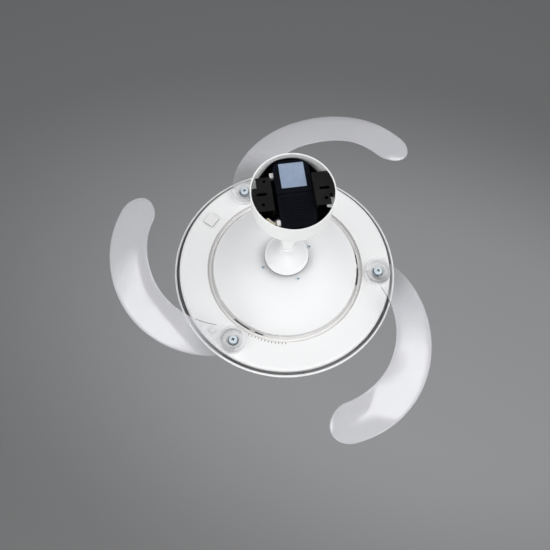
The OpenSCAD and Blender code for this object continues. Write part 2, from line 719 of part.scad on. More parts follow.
module shell_lugs(h0, h1, bore) for (k = [0:5]) rotate(60 * k + 30) translate([lug_r, 0, h0])
    difference() {
        union() {
            cylinder(r = 6, h = h1 - h0);
            translate([-7, -6, 0]) cube([7, 12, h1 - h0]);
        }
        translate([0, 0, -eps]) cylinder(r = bore, h = h1 - h0 + 2 * eps);
    }

module motor_bottom_shell() color([0.75, 0.76, 0.78]) at_h(0) {
    difference() {
        union() {
            translate([0, 0, floor_h]) cylinder(r = shell_r, h = shell_split_h - floor_h);
            translate([0, 0, low_bearing_h - 1]) cylinder(r = boss_r, h = floor_h - low_bearing_h + 2);
        }
        translate([0, 0, floor_h + shell_wall]) cylinder(r = shell_in_r, h = shell_split_h);
        translate([0, 0, low_bearing_h]) cylinder(r = bearing_r + fit, h = 30);
        translate([0, 0, low_bearing_h - 2]) cylinder(r = bearing_r - race_t, h = 4);
        for (k = [0:5]) rotate(60 * k) translate([plate_screw_r, 0, 0]) cylinder(r = bolt_pass_r, h = 20);
    }
    shell_lugs(shell_split_h - 8, shell_split_h, bolt_pass_r);
}

module motor_top_shell() color([0.75, 0.76, 0.78]) at_h(0) {
    difference() {
        union() {
            translate([0, 0, shell_split_h])
                cylinder(r = shell_r, h = shell_top_h - shell_slope - shell_split_h);
            translate([0, 0, shell_top_h - shell_slope - eps])
                cylinder(r1 = shell_r, r2 = shell_r - 2 * shell_slope, h = shell_slope + eps);
            for (k = [0:3]) rotate(90 * k + dome_turn) translate([dome_screw_r, 0, shell_top_h - eps])
                cylinder(r = dome_post_r, h = dome_h - dome_wall - shell_top_h + eps);
        }
        translate([0, 0, shell_split_h - 1])
            cylinder(r = shell_in_r, h = shell_top_h - shell_wall - shell_split_h + 1);
        translate([0, 0, top_bearing_h - 2]) cylinder(r = bearing_r + fit, h = bearing_w + 2);
        translate([0, 0, shell_top_h - 6]) cylinder(r = bearing_r - race_t, h = 20);
        for (k = [0:3]) rotate(90 * k + dome_turn) translate([dome_screw_r, 0, shell_top_h - 8])
            cylinder(r = bolt_pass_r, h = 30);
    }
    shell_lugs(shell_split_h, shell_split_h + 8, bolt_pass_r);
    // bearing pocket
    difference() {
        translate([0, 0, top_bearing_h - 1]) cylinder(r = boss_r, h = shell_top_h - top_bearing_h);
        translate([0, 0, top_bearing_h - 2]) cylinder(r = bearing_r + fit, h = bearing_w + 2);
        translate([0, 0, top_bearing_h - 2]) cylinder(r = bearing_r - race_t, h = 40);
    }
}

module shell_bolts() color("silver") at_h(shell_split_h + 8) for (k = [0:5])
    rotate(60 * k + 30) translate([lug_r, 0, 0]) screw(3.6, bolt_r, 15, 2.6);

module plate_screws() color("silver") at_h(floor_h - plate_t) for (k = [0:5])
    rotate(60 * k) translate([plate_screw_r, 0, 0]) rotate([180, 0, 0]) screw(3.6, bolt_r, 7, 2.4);

// ---------------------------------------------------------------- rotor covers

function dome_curve(r) = dome_edge_h + 2 + (dome_h - dome_edge_h - 2) *
    (1 - pow(max(0, r - dome_crown_r) / (dome_r - dome_crown_r), 1.7));
function dome_ring(i) = dome_crown_r + (dome_r - dome_crown_r) * i / dome_steps;
module dome_cover() color("white") at_h(0) difference() {
    rotate_extrude() polygon(concat(
        [[dome_hole_r, dome_h]],
        [for (i = [0:dome_steps]) [dome_ring(i), dome_curve(dome_ring(i))]],
        [[dome_r + dome_lip, dome_edge_h + 1], [dome_r + dome_lip, dome_edge_h],
         [dome_r - dome_wall, dome_edge_h]],
        [for (i = [dome_steps:-1:0]) [dome_ring(i) - dome_wall * i / dome_steps,
            dome_curve(dome_ring(i)) - dome_wall * (i < dome_steps ? 1 : 0.5)]],
        [[dome_hole_r, dome_h - dome_wall]]));
    for (k = [0:3]) rotate(90 * k + dome_turn) translate([dome_screw_r, 0, dome_h - 10])
        cylinder(r = 2.4, h = 20);
}

module dome_screws() color([0.35, 0.38, 0.4]) at_h(dome_h) for (k = [0:3])
    rotate(90 * k + dome_turn) translate([dome_screw_r, 0, 0]) screw(3.8, bolt_r, 8, 2.2);

// Section of the plate: inner floor, step up, flat top, round edge and skirt
plate_section = concat(
    [[hub_hole_r, floor_h - plate_t], [step_r, floor_h - plate_t], [step_r, plate_h - plate_t]],
    arc_points([plate_r - edge_round, plate_h - edge_round], edge_round - plate_t, 90, 0, 6),
    [[plate_r - plate_t, -skirt_h], [plate_r, -skirt_h]],
    arc_points([plate_r - edge_round, plate_h - edge_round], edge_round, 0, 90, 6),
    [[step_r - step_wall, plate_h], [step_r - step_wall, floor_h], [hub_hole_r, floor_h]]);

module blade_plate() color("white") at_h(0) {
    difference() {
        union() {
            rotate_extrude() polygon(plate_section);
            // low ridges in the groove
            for (r = ridge_r) translate([0, 0, floor_h - eps]) ring(r + 0.6, r - 0.6, 2);
            // stiffening ribs under the dome
            for (k = [0:ground_ribs - 1]) rotate(360 * (k + 0.5) / ground_ribs)
                translate([shell_r + 12, -1, floor_h - eps]) cube([dome_r - shell_r - 28, 2, 7]);
            // pegs that the dome's edge stands on
            for (k = [0:5]) rotate(60 * k + rotor_turn + 30)
                translate([dome_r - 1.5, 0, floor_h - eps])
                    cylinder(r = 2.5, h = dome_edge_h - floor_h, $fn = 32);
            for (a = pivot_angles) rotate(a) translate([pivot_r, 0, seat_bottom_h])
                cylinder(r = seat_r, h = seat_h - seat_bottom_h);
        }
        for (a = pivot_angles) rotate(a) {
            translate([pivot_r, 0, plate_h]) cylinder(r = seat_bore_r, h = 20);
            translate([pivot_r, 0, -20]) cylinder(r = post_tail_r + fit, h = 40);
            stop_groove();
            pivot_slits();
        }
        for (k = [0:vents - 1]) rotate(rotor_turn + vent_turn + vent_pitch * k)
            translate([step_r - 3.6, -0.8, floor_h + 2]) cube([5.5, 1.6, plate_h]);
        for (k = [0:5]) rotate(60 * k) translate([plate_screw_r, 0, 0])
            cylinder(r = bolt_r + 0.4, h = 20, center = true);
    }
}

// Arc that the hub's stop pin runs in, from the folded blade to the open one
module stop_groove() translate([pivot_r, 0, seat_h - stop_depth]) rotate(180 - stop_end)
    rotate_extrude(angle = swing + 2 * stop_end) translate([stop_r - stop_pin_r - 0.5, 0])
        square([2 * stop_pin_r + 1, stop_depth + 1]);

// Narrow arcs through the groove's floor, beside each pivot
module pivot_slits() for (s = slit_turns) rotate(s[0]) rotate_extrude(angle = s[1] - s[0])
    translate([slot_r - slit_w / 2, floor_h - plate_t - 1]) square([slit_w, plate_t + 3]);

module balance_pads() color("whitesmoke") at_h(plate_h) {
    for (p = [pad_1, pad_2]) rotate(rotor_turn + p[1]) translate([p[0], 0, 0])
        linear_extrude(p[4]) offset_square(p[2], p[3], 1.5);
}

// ---------------------------------------------------------------- blade pivots

module pivot_posts() color("silver") for (k = [0:2]) at_pivot(k) difference() {
    union() {
        translate([0, 0, plate_h]) cylinder(r = seat_bore_r - 0.5, h = 1.6);
        translate([0, 0, plate_h]) cylinder(r = post_r, h = hub_boss_h + 0.3 - plate_h);
        translate([0, 0, seat_bottom_h - 1])
            cylinder(r = post_tail_r, h = plate_h - seat_bottom_h + 1 + eps);
    }
    translate([0, 0, hub_boss_h - 10]) cylinder(r = 2, h = 20);
}

// Flanged screws: the flange holds the blade's hub down on its post
module pivot_screws() color([0.6, 0.66, 0.75]) for (k = [0:2]) at_pivot(k)
    translate([0, 0, hub_boss_h + 0.3]) rotate(30) {
        cylinder(r = screw_flange_r, h = screw_flange_t);
        translate([0, 0, screw_flange_t - eps])
            screw(screw_head_r, pivot_shank_r, pivot_shank_l + screw_flange_t, screw_head_t);
    }

// Coil of each return spring: eight rings a turn, from the post's collar up
spring_path = [for (i = [0:8 * spring_turns]) let (a = 45 * i)
    [spring_r * cos(a), spring_r * sin(a), plate_h + 1.9 + spring_wire_r + spring_pitch * i / 8]];
spring_gap = min([for (i = [0:len(spring_path) - 1], j = [i + 4:1:len(spring_path) - 1])
    norm(spring_path[j] - spring_path[i])]) - 2 * spring_wire_r;
echo(spring_gap = spring_gap);
module return_springs() color("silver") for (k = [0:2]) at_pivot(k) tube(spring_path, spring_wire_r, 6);

// ---------------------------------------------------------------- blades

// Edges of the blade about its own centre, at angle t from the pivot
function inner_edge(t) = let (c = -inner_shift * sin(t))
    c + sqrt(inner_r * inner_r - inner_shift * inner_shift + c * c);
function outer_edge(t) = blade_r - (blade_r - blade_centre - hub_r) * (1 - smooth(t, 0, 16));
function mid_edge(t) = (outer_edge(t) + inner_edge(t)) / 2;
tip_deg = tip_len / mid_edge(blade_span) * 180 / PI;
function half_width(t) = let (k = max(0, (t - blade_span + tip_deg) / tip_deg))
    (outer_edge(t) - inner_edge(t)) / 2 * sqrt(max(0, 1 - k * k));
function slope_at(t) = root_pitch + (pitch - root_pitch) * smooth(t, root_from, pitch_to)
    + (tip_pitch - pitch) * smooth(t, tip_from, tip_to);
function crown_at(t, u) = camber * min(1, half_width(t) / 40) * (1 - u * u) * smooth(t, root_from, crown_to);
function blade_h(t, u) = root_h + tip_rise * smooth(t, pitch_to, rise_to)
    - slope_at(t) * half_width(t) * u + crown_at(t, u);
// A point of the blade: t along it, u from -1 at the inner edge to 1 at the outer one,
// o above its middle surface
function blade_point(t, u, o) = let (r = mid_edge(t) + half_width(t) * u)
    [r * cos(t) - blade_centre, -r * sin(t), blade_h(t, u) + o];

function blade_section(t) = concat(
    [for (i = [0:7]) blade_point(t, across[i], blade_t / 2 * skin[i])],
    [for (i = [7:-1:0]) blade_point(t, across[i], -blade_t / 2 * skin[i])]);
stations = concat(
    [for (i = [0:blade_steps]) (blade_span - tip_deg) * i / blade_steps],
    [for (i = [1:tip_steps]) blade_span - tip_deg + tip_deg * sin(89 * i / tip_steps)]);

module blade_shell() {
    n = 16;
    last = len(stations) - 1;
    points = [for (t = stations, q = blade_section(t)) q];
    sides = [for (i = [0:last - 1], k = [0:n - 1]) let (a = i * n + k, b = i * n + (k + 1) % n)
        each [[a, b, a + n], [b, b + n, a + n]]];
    caps = [for (i = [0:6]) let (a = i, b = i + 1, c = 14 - i, d = 15 - i, e = last * n)
        each [[a, c, b], [a, d, c], [e + a, e + b, e + c], [e + a, e + c, e + d]]];
    polyhedron(points, concat(sides, caps), convexity = 8);
}

module blade_hub() {
    translate([0, 0, hub_base_h]) cylinder(r = hub_r, h = hub_floor_t);
    translate([0, 0, hub_base_h]) ring(cup_r + ring_wall, cup_r, cup_h - hub_base_h);
    translate([0, 0, hub_base_h]) ring(hub_r, hub_r - ring_wall, root_h - hub_base_h);
    translate([0, 0, hub_base_h]) cylinder(r = hub_boss_r, h = hub_boss_h - hub_base_h);
    // stop pin under the hub
    rotate(180) translate([stop_r, 0, seat_h - stop_depth + 0.6])
        cylinder(r = stop_pin_r, h = hub_base_h - seat_h + stop_depth, $fn = 48);
}

module blade(k) color([0.85, 0.85, 0.9, 0.6]) at_pivot(k) rotate(open_angles[k]) difference() {
    union() {
        blade_hub();
        difference() {
            blade_shell();
            translate([0, 0, hub_base_h + hub_floor_t]) cylinder(r = cup_r, h = 40);
        }
    }
    translate([0, 0, hub_base_h - 5]) cylinder(r = post_r + pivot_clearance, h = 40);
}

module blade_1() blade(0);
module blade_2() blade(1);
module blade_3() blade(2);

// ---------------------------------------------------------------- lamp

module bearing_spacer() color("silver") at_h(pan_top_h)
    ring(shaft_r + 5, shaft_r + fit, low_bearing_h - pan_top_h);

module pan_nut() color("silver") at_h(pan_bottom_h - 8) difference() {
    union() {
        cylinder(r = 15, h = 6.5, $fn = 6);
        translate([0, 0, 6.5 - eps]) cylinder(r = 18, h = 1.5 + eps);
    }
    translate([0, 0, -eps]) cylinder(r = shaft_r + fit, h = 10);
}

module lamp_housing() color("white") at_h(0) difference() {
    housing_wall();
    for (k = [0:5]) rotate(60 * k + 30) translate([pan_screw_r, 0, pan_bottom_h - ledge_t - 1])
        cylinder(r = lamp_screw_r + fit, h = ledge_t + 2, $fn = 32);
}

// Section of the housing: bead, leaning wall, ledge for the pan and lip for the diffuser
module housing_wall() rotate_extrude() polygon(concat(
    [[wall_in(-lamp_h) + lamp_wall - 0.6, -lamp_h], [wall_in(-lamp_h) + lamp_wall, -lamp_h + 0.6],
     [lamp_r, -bead_w]],
    arc_points([lamp_r - bead_w / 2, -bead_w / 2], bead_w / 2, 0, 180, 10),
    [[lamp_r - lamp_wall, -bead_w], [wall_in(pan_bottom_h), pan_bottom_h], [ledge_in_r, pan_bottom_h],
     [ledge_in_r, pan_bottom_h - ledge_t], [wall_in(pan_bottom_h - ledge_t), pan_bottom_h - ledge_t],
     [wall_in(-lamp_h + lip_t), -lamp_h + lip_t], [wall_in(-lamp_h) - lip_w, -lamp_h + lip_t],
     [wall_in(-lamp_h) - lip_w, -lamp_h]]));

module lamp_pan() color("white") at_h(pan_bottom_h) difference() {
    union() {
        cylinder(r = pan_r, h = pan_t);
        for (k = [0:5]) rotate(60 * k) translate([rib_from, -3, 0]) cube([rib_to - rib_from, 6, pan_t + 2]);
    }
    translate([0, 0, -eps]) cylinder(r = shaft_r + fit, h = pan_t + 1);
    for (k = [0:5]) rotate(60 * k + 30) translate([pan_screw_r, 0, -eps])
        cylinder(r = lamp_screw_r + fit, h = pan_t + 1, $fn = 32);
    for (k = [0:5]) rotate(60 * k) translate([board_screw_r, 0, -eps])
        cylinder(r = lamp_screw_r + fit, h = pan_t + 4, $fn = 32);
    for (y = [-1, 1]) translate([driver_x, y * driver_ear_y, -eps])
        cylinder(r = lamp_screw_r + fit, h = pan_t + 4, $fn = 32);
}

module led_board() color("aliceblue") at_h(pan_bottom_h - board_t) difference() {
    cylinder(r = board_r, h = board_t);
    translate([0, 0, -eps]) cylinder(r = board_in_r, h = board_t + 1);
    for (k = [0:5]) rotate(60 * k) translate([board_screw_r, 0, -eps])
        cylinder(r = lamp_screw_r + fit, h = 5, $fn = 32);
}

module led_chips() color("lemonchiffon") at_h(pan_bottom_h - board_t - chip[2])
    for (row = chip_rows, k = [0:row[1] - 1]) rotate(360 * (k + 0.5) / row[1])
        translate([row[0] - chip[0] / 2, -chip[1] / 2, 0]) cube(chip);

module led_driver() color("whitesmoke") at_h(pan_bottom_h - driver_t) translate([driver_x, 0, 0])
    difference() {
        union() {
            linear_extrude(driver_t) offset_square(driver_size[0], driver_size[1], 4);
            for (y = [-1, 1]) translate([0, y * (driver_ear_y - 1), driver_t - 2])
                linear_extrude(2) offset_square(ear_size[0], ear_size[1], 3);
        }
        for (y = [-1, 1]) translate([0, y * driver_ear_y, 0])
            cylinder(r = lamp_screw_r + fit, h = 2 * driver_t, $fn = 32);
    }

// Screws of the pan, the board and the driver
module lamp_screws() color("silver") {
    at_h(pan_top_h) for (k = [0:5]) rotate(60 * k + 30) translate([pan_screw_r, 0, 0])
        screw(small_head_r, lamp_screw_r, pan_t + ledge_t + 2, 2);
    at_h(pan_bottom_h - board_t) for (k = [0:5]) rotate(60 * k) translate([board_screw_r, 0, 0])
        rotate([180, 0, 0]) screw(small_head_r, lamp_screw_r, 4, 2);
    at_h(pan_bottom_h - 2) for (y = [-1, 1]) translate([driver_x, y * driver_ear_y, 0])
        rotate([180, 0, 0]) screw(small_head_r, lamp_screw_r, 3.5, 2);
}

function diffuser_drop(r) = diffuser_sag * (1 - pow(r / diffuser_r, 2.6));
module diffuser() color([0.97, 0.97, 0.95]) at_h(0) rotate_extrude() polygon(concat(
    [[flange_out_r, diffuser_rim_h], [flange_out_r, -lamp_h + lip_t], [diffuser_r, -lamp_h + lip_t],
     [diffuser_r, -lamp_h - 1]],
    [for (i = [diffuser_steps:-1:0]) let (r = (diffuser_r - 1) * i / diffuser_steps)
        [r, -lamp_h - 1 - diffuser_drop(r)]],
    [for (i = [0:diffuser_steps]) let (r = (diffuser_r - diffuser_wall) * i / diffuser_steps)
        [r, -lamp_h - 1 + diffuser_wall - diffuser_drop(r)]],
    [[diffuser_r - diffuser_wall, diffuser_rim_h]]));

// Spring clips from the housing's ledge down to the diffuser's rim
module diffuser_clips() color("silver") at_h(0) for (k = [0:2]) rotate(120 * k + 60)
    translate([diffuser_r - 9, -clip_w / 2, 0]) {
        top = pan_bottom_h - ledge_t;
        translate([0, 0, diffuser_rim_h + 0.3]) cube([clip_t, clip_w, top - diffuser_rim_h - 0.3]);
        translate([0, 0, diffuser_rim_h + 0.3]) cube([9, clip_w, clip_t]);
        translate([0, 0, top - clip_t]) cube([ledge_in_r - diffuser_r + 15, clip_w, clip_t]);
    }

// ---------------------------------------------------------------- nodes

ceiling_bracket();
canopy();
canopy_screws();
receiver_box();
wire_connectors();
yellow_lead();
white_lead();
violet_lead();
hanger_ball();
downrod();
hanger_pin();
coupling_pin();
pin_clip();
shaft_yoke();
yoke_screws();
coupling_cover();
rod_leads();
motor_shaft();
bearing_inner_races();
bearing_balls();
stator_core();
stator_windings();
bearing_spacer();
pan_nut();
lamp_housing();
lamp_pan();
led_board();
led_chips();
led_driver();
lamp_screws();
diffuser();
diffuser_clips();
bearing_outer_races();
motor_top_shell();
motor_bottom_shell();
magnet_ring();
back_iron();
shell_bolts();
dome_cover();
dome_screws();
blade_plate();
plate_screws();
balance_pads();
pivot_posts();
return_springs();
pivot_screws();
blade_1();
blade_2();
blade_3();
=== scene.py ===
# Ceiling fan with clear folding blades and a round lamp, dressed around its solid model.
# Everything is in metres, in the model's own frame: the ceiling is at z = 0.
import math
import bpy
import bmesh
from mathutils import Matrix, Vector


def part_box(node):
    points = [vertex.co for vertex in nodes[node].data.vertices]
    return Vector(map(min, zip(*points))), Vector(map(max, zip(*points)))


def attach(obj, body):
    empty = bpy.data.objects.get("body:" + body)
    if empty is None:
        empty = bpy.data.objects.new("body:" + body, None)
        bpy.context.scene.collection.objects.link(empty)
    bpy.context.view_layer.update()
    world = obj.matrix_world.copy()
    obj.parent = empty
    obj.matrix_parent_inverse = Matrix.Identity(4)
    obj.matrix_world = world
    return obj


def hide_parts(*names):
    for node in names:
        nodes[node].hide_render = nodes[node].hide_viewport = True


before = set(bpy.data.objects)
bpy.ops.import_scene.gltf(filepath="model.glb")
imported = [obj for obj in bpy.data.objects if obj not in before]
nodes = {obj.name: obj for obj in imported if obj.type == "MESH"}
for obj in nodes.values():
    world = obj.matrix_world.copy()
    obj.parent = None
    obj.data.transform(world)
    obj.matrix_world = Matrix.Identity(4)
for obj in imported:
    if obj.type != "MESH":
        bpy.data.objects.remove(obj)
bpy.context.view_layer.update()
print("stage: frame loaded,", len(nodes), "nodes")

# The camera stands as the photograph's did; lengths in metres, angles in degrees
view = {
    "focal": 782.0,  # in pixels of a square picture
    "picture": 550.0,
    "sensor": 36.0,
    "azimuth": -14.0,
    "elevation": 67.75,
    "roll": 6.06,
    "distance": 1.784,
    "aim": (0.0, 0.0, -0.383),
    "offCentre": (9.9, 5.1),  # how far the aim point lies from the picture's centre, in pixels
    "clipEnd": 60.0,
}


# Turns two axes in their own plane, the first towards the second
def turnPair(a, b, angle):
    return a * math.cos(angle) + b * math.sin(angle), b * math.cos(angle) - a * math.sin(angle)


def placeCamera():
    az, el, roll = (math.radians(view[k]) for k in ("azimuth", "elevation", "roll"))
    back = Vector((math.sin(az) * math.cos(el), -math.cos(az) * math.cos(el), math.sin(el)))
    right = Vector((math.cos(az), math.sin(az), 0))
    up = back.cross(right)
    place = Vector(view["aim"]) + back * view["distance"]
    right, up = turnPair(right, up, roll)
    offX, offY = view["offCentre"]
    back, right = turnPair(back, right, math.atan(offX / view["focal"]))
    back, up = turnPair(back, up, math.atan2(offY, math.hypot(view["focal"], offX)))
    camera = bpy.data.objects.new("camera", bpy.data.cameras.new("camera"))
    camera.data.sensor_width = view["sensor"]
    camera.data.lens = view["focal"] / view["picture"] * view["sensor"]
    camera.data.clip_end = view["clipEnd"]
    camera.matrix_world = Matrix.Translation(place) @ Matrix((right, up, back)).transposed().to_4x4()
    bpy.context.scene.collection.objects.link(camera)
    bpy.context.scene.camera = camera


placeCamera()
print("stage: camera placed")


# An input takes a plain value, a colour, or the output of another node
def setInputs(node, values):
    for key, value in values.items():
        socket = node.inputs[key]
        if isinstance(value, bpy.types.NodeSocket):
            node.id_data.links.new(value, socket)
        else:
            socket.default_value = (*value, 1) if socket.type == "RGBA" else value


def addNode(tree, kind, values, **settings):
    node = tree.nodes.new(kind)
    for key, value in settings.items():
        setattr(node, key, value)
    setInputs(node, values)
    return node


def addMath(tree, operation, *values, **settings):
    node = addNode(tree, "ShaderNodeMath", dict(enumerate(values)), operation=operation, **settings)
    return node.outputs["Value"]


def addVectorMath(tree, operation, *values):
    node = addNode(tree, "ShaderNodeVectorMath", dict(enumerate(values)), operation=operation)
    return node.outputs


def mixColours(tree, share, first, second):
    mix = addNode(tree, "ShaderNodeMix", {"Factor": share, "A": first, "B": second}, data_type="RGBA")
    return mix.outputs["Result"]


def mixNumbers(tree, share, first, second):
    mix = addNode(tree, "ShaderNodeMix", {"Factor": share, "A": first, "B": second}, data_type="FLOAT")
    return mix.outputs["Result"]


def rangeShare(tree, value, low, high, **settings):
    spread = addNode(tree, "ShaderNodeMapRange", {"Value": value, "From Min": low, "From Max": high},
                     **settings)
    return spread.outputs["Result"]


def newMaterial(name):
    material = bpy.data.materials.new(name)
    material.use_nodes = True
    tree = material.node_tree
    tree.nodes.clear()
    shader = addNode(tree, "ShaderNodeBsdfPrincipled", {})
    addNode(tree, "ShaderNodeOutputMaterial", {"Surface": shader.outputs["BSDF"]})
    return material, tree, shader


def newGroup(name, inputs, outputs):
    group = bpy.data.node_groups.new(name, "ShaderNodeTree")
    for side, sockets in (("INPUT", inputs), ("OUTPUT", outputs)):
        for label, kind in sockets.items():
            group.interface.new_socket(name=label, in_out=side, socket_type="NodeSocket" + kind)
    return group, group.nodes.new("NodeGroupInput").outputs, group.nodes.new("NodeGroupOutput")


# What the groups take in and put out
skinInputs = {"Colour": "Color", "Stain": "Color", "Stain Amount": "Float", "Roughness": "Float",
              "Spread": "Float", "Grain Scale": "Float", "Blotch Scale": "Float"}
dirtAndShadeInputs = {"Colour": "Color", "Dirt And Shade": "Color", "Amount": "Float", "Reach": "Float"}
brushInputs = {"Colour": "Color", "Line Colour": "Color", "Stretch": "Vector", "Scale": "Float",
               "Roughness": "Float"}
inwardInputs = {"Centre Height": "Float", "From Height": "Float", "To Height": "Float",
                "Side Drop": "Float", "Side From": "Float", "Side To": "Float"}
surfaceOutputs = {"Colour": "Color", "Roughness": "Float", "Height": "Float"}

# Values that every surface shares: detail and roughness of each noise, and where the masks start and end
effects = {
    "grain": (3.0, 0.55), "blotch": (5.0, 0.6), "lines": (4.0, 0.7), "lineSpread": 0.25,
    "stainFrom": 0.42, "stainTo": 0.78, "dirtAndShadeFrom": 0.95, "dirtAndShadeTo": 0.45, "dirtAndShadeSamples": 6,
}


def addNoise(tree, place, scale, effect):
    detail, roughness = effects[effect]
    noise = addNode(tree, "ShaderNodeTexNoise", {"Vector": place, "Scale": scale, "Detail": detail,
                                                 "Roughness": roughness})
    return noise.outputs["Fac"]


# Fine grain and slow blotches for moulded and painted surfaces
def makeSkinGroup():
    group, given, result = newGroup("surfaceSkin", skinInputs, surfaceOutputs)
    place = addNode(group, "ShaderNodeTexCoord", {}).outputs["Object"]
    grain = addNoise(group, place, given["Grain Scale"], "grain")
    blotch = addNoise(group, place, given["Blotch Scale"], "blotch")
    stained = rangeShare(group, blotch, effects["stainFrom"], effects["stainTo"])
    amount = addMath(group, "MULTIPLY", stained, given["Stain Amount"])
    centred = addMath(group, "SUBTRACT", blotch, 0.5)
    setInputs(result, {
        "Colour": mixColours(group, amount, given["Colour"], given["Stain"]),
        "Roughness": addMath(group, "MULTIPLY_ADD", centred, given["Spread"], given["Roughness"]),
        "Height": grain})
    return group


# Dirt and painted shade in corners, laid over a colour where other surfaces lie close by
def makeCornerGroup():
    group, given, result = newGroup("cornerDirtAndShade", dirtAndShadeInputs, {"Colour": "Color"})
    # painted shade: ambient occlusion darkens the colour where other surfaces lie close by
    corner = addNode(group, "ShaderNodeAmbientOcclusion", {"Distance": given["Reach"]},
                     samples=effects["dirtAndShadeSamples"], only_local=True)
    mask = rangeShare(group, corner.outputs["AO"], effects["dirtAndShadeFrom"], effects["dirtAndShadeTo"])
    amount = addMath(group, "MULTIPLY", mask, given["Amount"], use_clamp=True)
    setInputs(result, {"Colour": mixColours(group, amount, given["Colour"], given["Dirt And Shade"])})
    return group


# Fine lines left by rolling, drawing or turning
def makeBrushGroup():
    group, given, result = newGroup("brushedLines", brushInputs, surfaceOutputs)
    place = addNode(group, "ShaderNodeTexCoord", {}).outputs["Object"]
    stretched = addVectorMath(group, "MULTIPLY", place, given["Stretch"])["Vector"]
    lines = addNoise(group, stretched, given["Scale"], "lines")
    setInputs(result, {
        "Colour": mixColours(group, lines, given["Colour"], given["Line Colour"]),
        "Roughness": addMath(group, "MULTIPLY_ADD", lines, effects["lineSpread"], given["Roughness"]),
        "Height": lines})
    return group


# Marks the faces that look inwards, and grows from one height down to another
def makeInwardGroup():
    group, given, result = newGroup("inwardShade", inwardInputs, {"Mask": "Float"})
    place = addNode(group, "ShaderNodeTexCoord", {}).outputs
    centre = addNode(group, "ShaderNodeCombineXYZ", {"Z": given["Centre Height"]}).outputs["Vector"]
    outward = addVectorMath(group, "SUBTRACT", place["Object"], centre)["Vector"]
    facing = addVectorMath(group, "DOT_PRODUCT", outward, place["Normal"])["Value"]
    inward = addMath(group, "LESS_THAN", facing, 0.0)
    split = addNode(group, "ShaderNodeSeparateXYZ", {"Vector": place["Object"]}).outputs
    side = rangeShare(group, addMath(group, "ABSOLUTE", split["X"]), given["Side From"], given["Side To"],
                      interpolation_type="SMOOTHSTEP")
    lowered = addMath(group, "MULTIPLY_ADD", side, given["Side Drop"], split["Z"])
    deep = rangeShare(group, lowered, given["From Height"], given["To Height"],
                      interpolation_type="SMOOTHSTEP")
    setInputs(result, {"Mask": addMath(group, "MULTIPLY", inward, deep)})
    return group


# How far a point lies from the upright axis, spread over a range of radii
def makeRadiusGroup():
    group, given, result = newGroup(
        "radiusRange", {"From Radius": "Float", "To Radius": "Float"}, {"Share": "Float"})
    place = addNode(group, "ShaderNodeTexCoord", {}).outputs["Object"]
    flat = addVectorMath(group, "MULTIPLY", place, (1, 1, 0))["Vector"]
    radius = addVectorMath(group, "LENGTH", flat)["Value"]
    setInputs(result, {"Share": rangeShare(group, radius, given["From Radius"], given["To Radius"])})
    return group


skinGroup = makeSkinGroup()
inwardGroup = makeInwardGroup()
radiusGroup = makeRadiusGroup()
cornerGroup = makeCornerGroup()
brushGroup = makeBrushGroup()


def placeGroup(tree, group, values):
    return addNode(tree, "ShaderNodeGroup", values, node_tree=group).outputs


def radiusShare(tree, first, last):
    return placeGroup(tree, radiusGroup, {"From Radius": first, "To Radius": last})["Share"]


def addBump(tree, height, strength, distance):
    bump = addNode(tree, "ShaderNodeBump", {"Height": height, "Strength": strength, "Distance": distance})
    return bump.outputs["Normal"]


# A surface with the colour, roughness and relief of its group, and dirt with painted shade in its corners
def dressedMaterial(name, group, values, bump, plain, dirtAndShade=None):
    material, tree, shader = newMaterial(name)
    look = placeGroup(tree, group, values)
    colour = look["Colour"]
    if dirtAndShade:
        colour = placeGroup(tree, cornerGroup, dict(zip(dirtAndShadeInputs, (colour, *dirtAndShade))))["Colour"]
    setInputs(shader, {"Base Color": colour, "Roughness": look["Roughness"],
                       "Normal": addBump(tree, look["Height"], *bump), **plain})
    return material
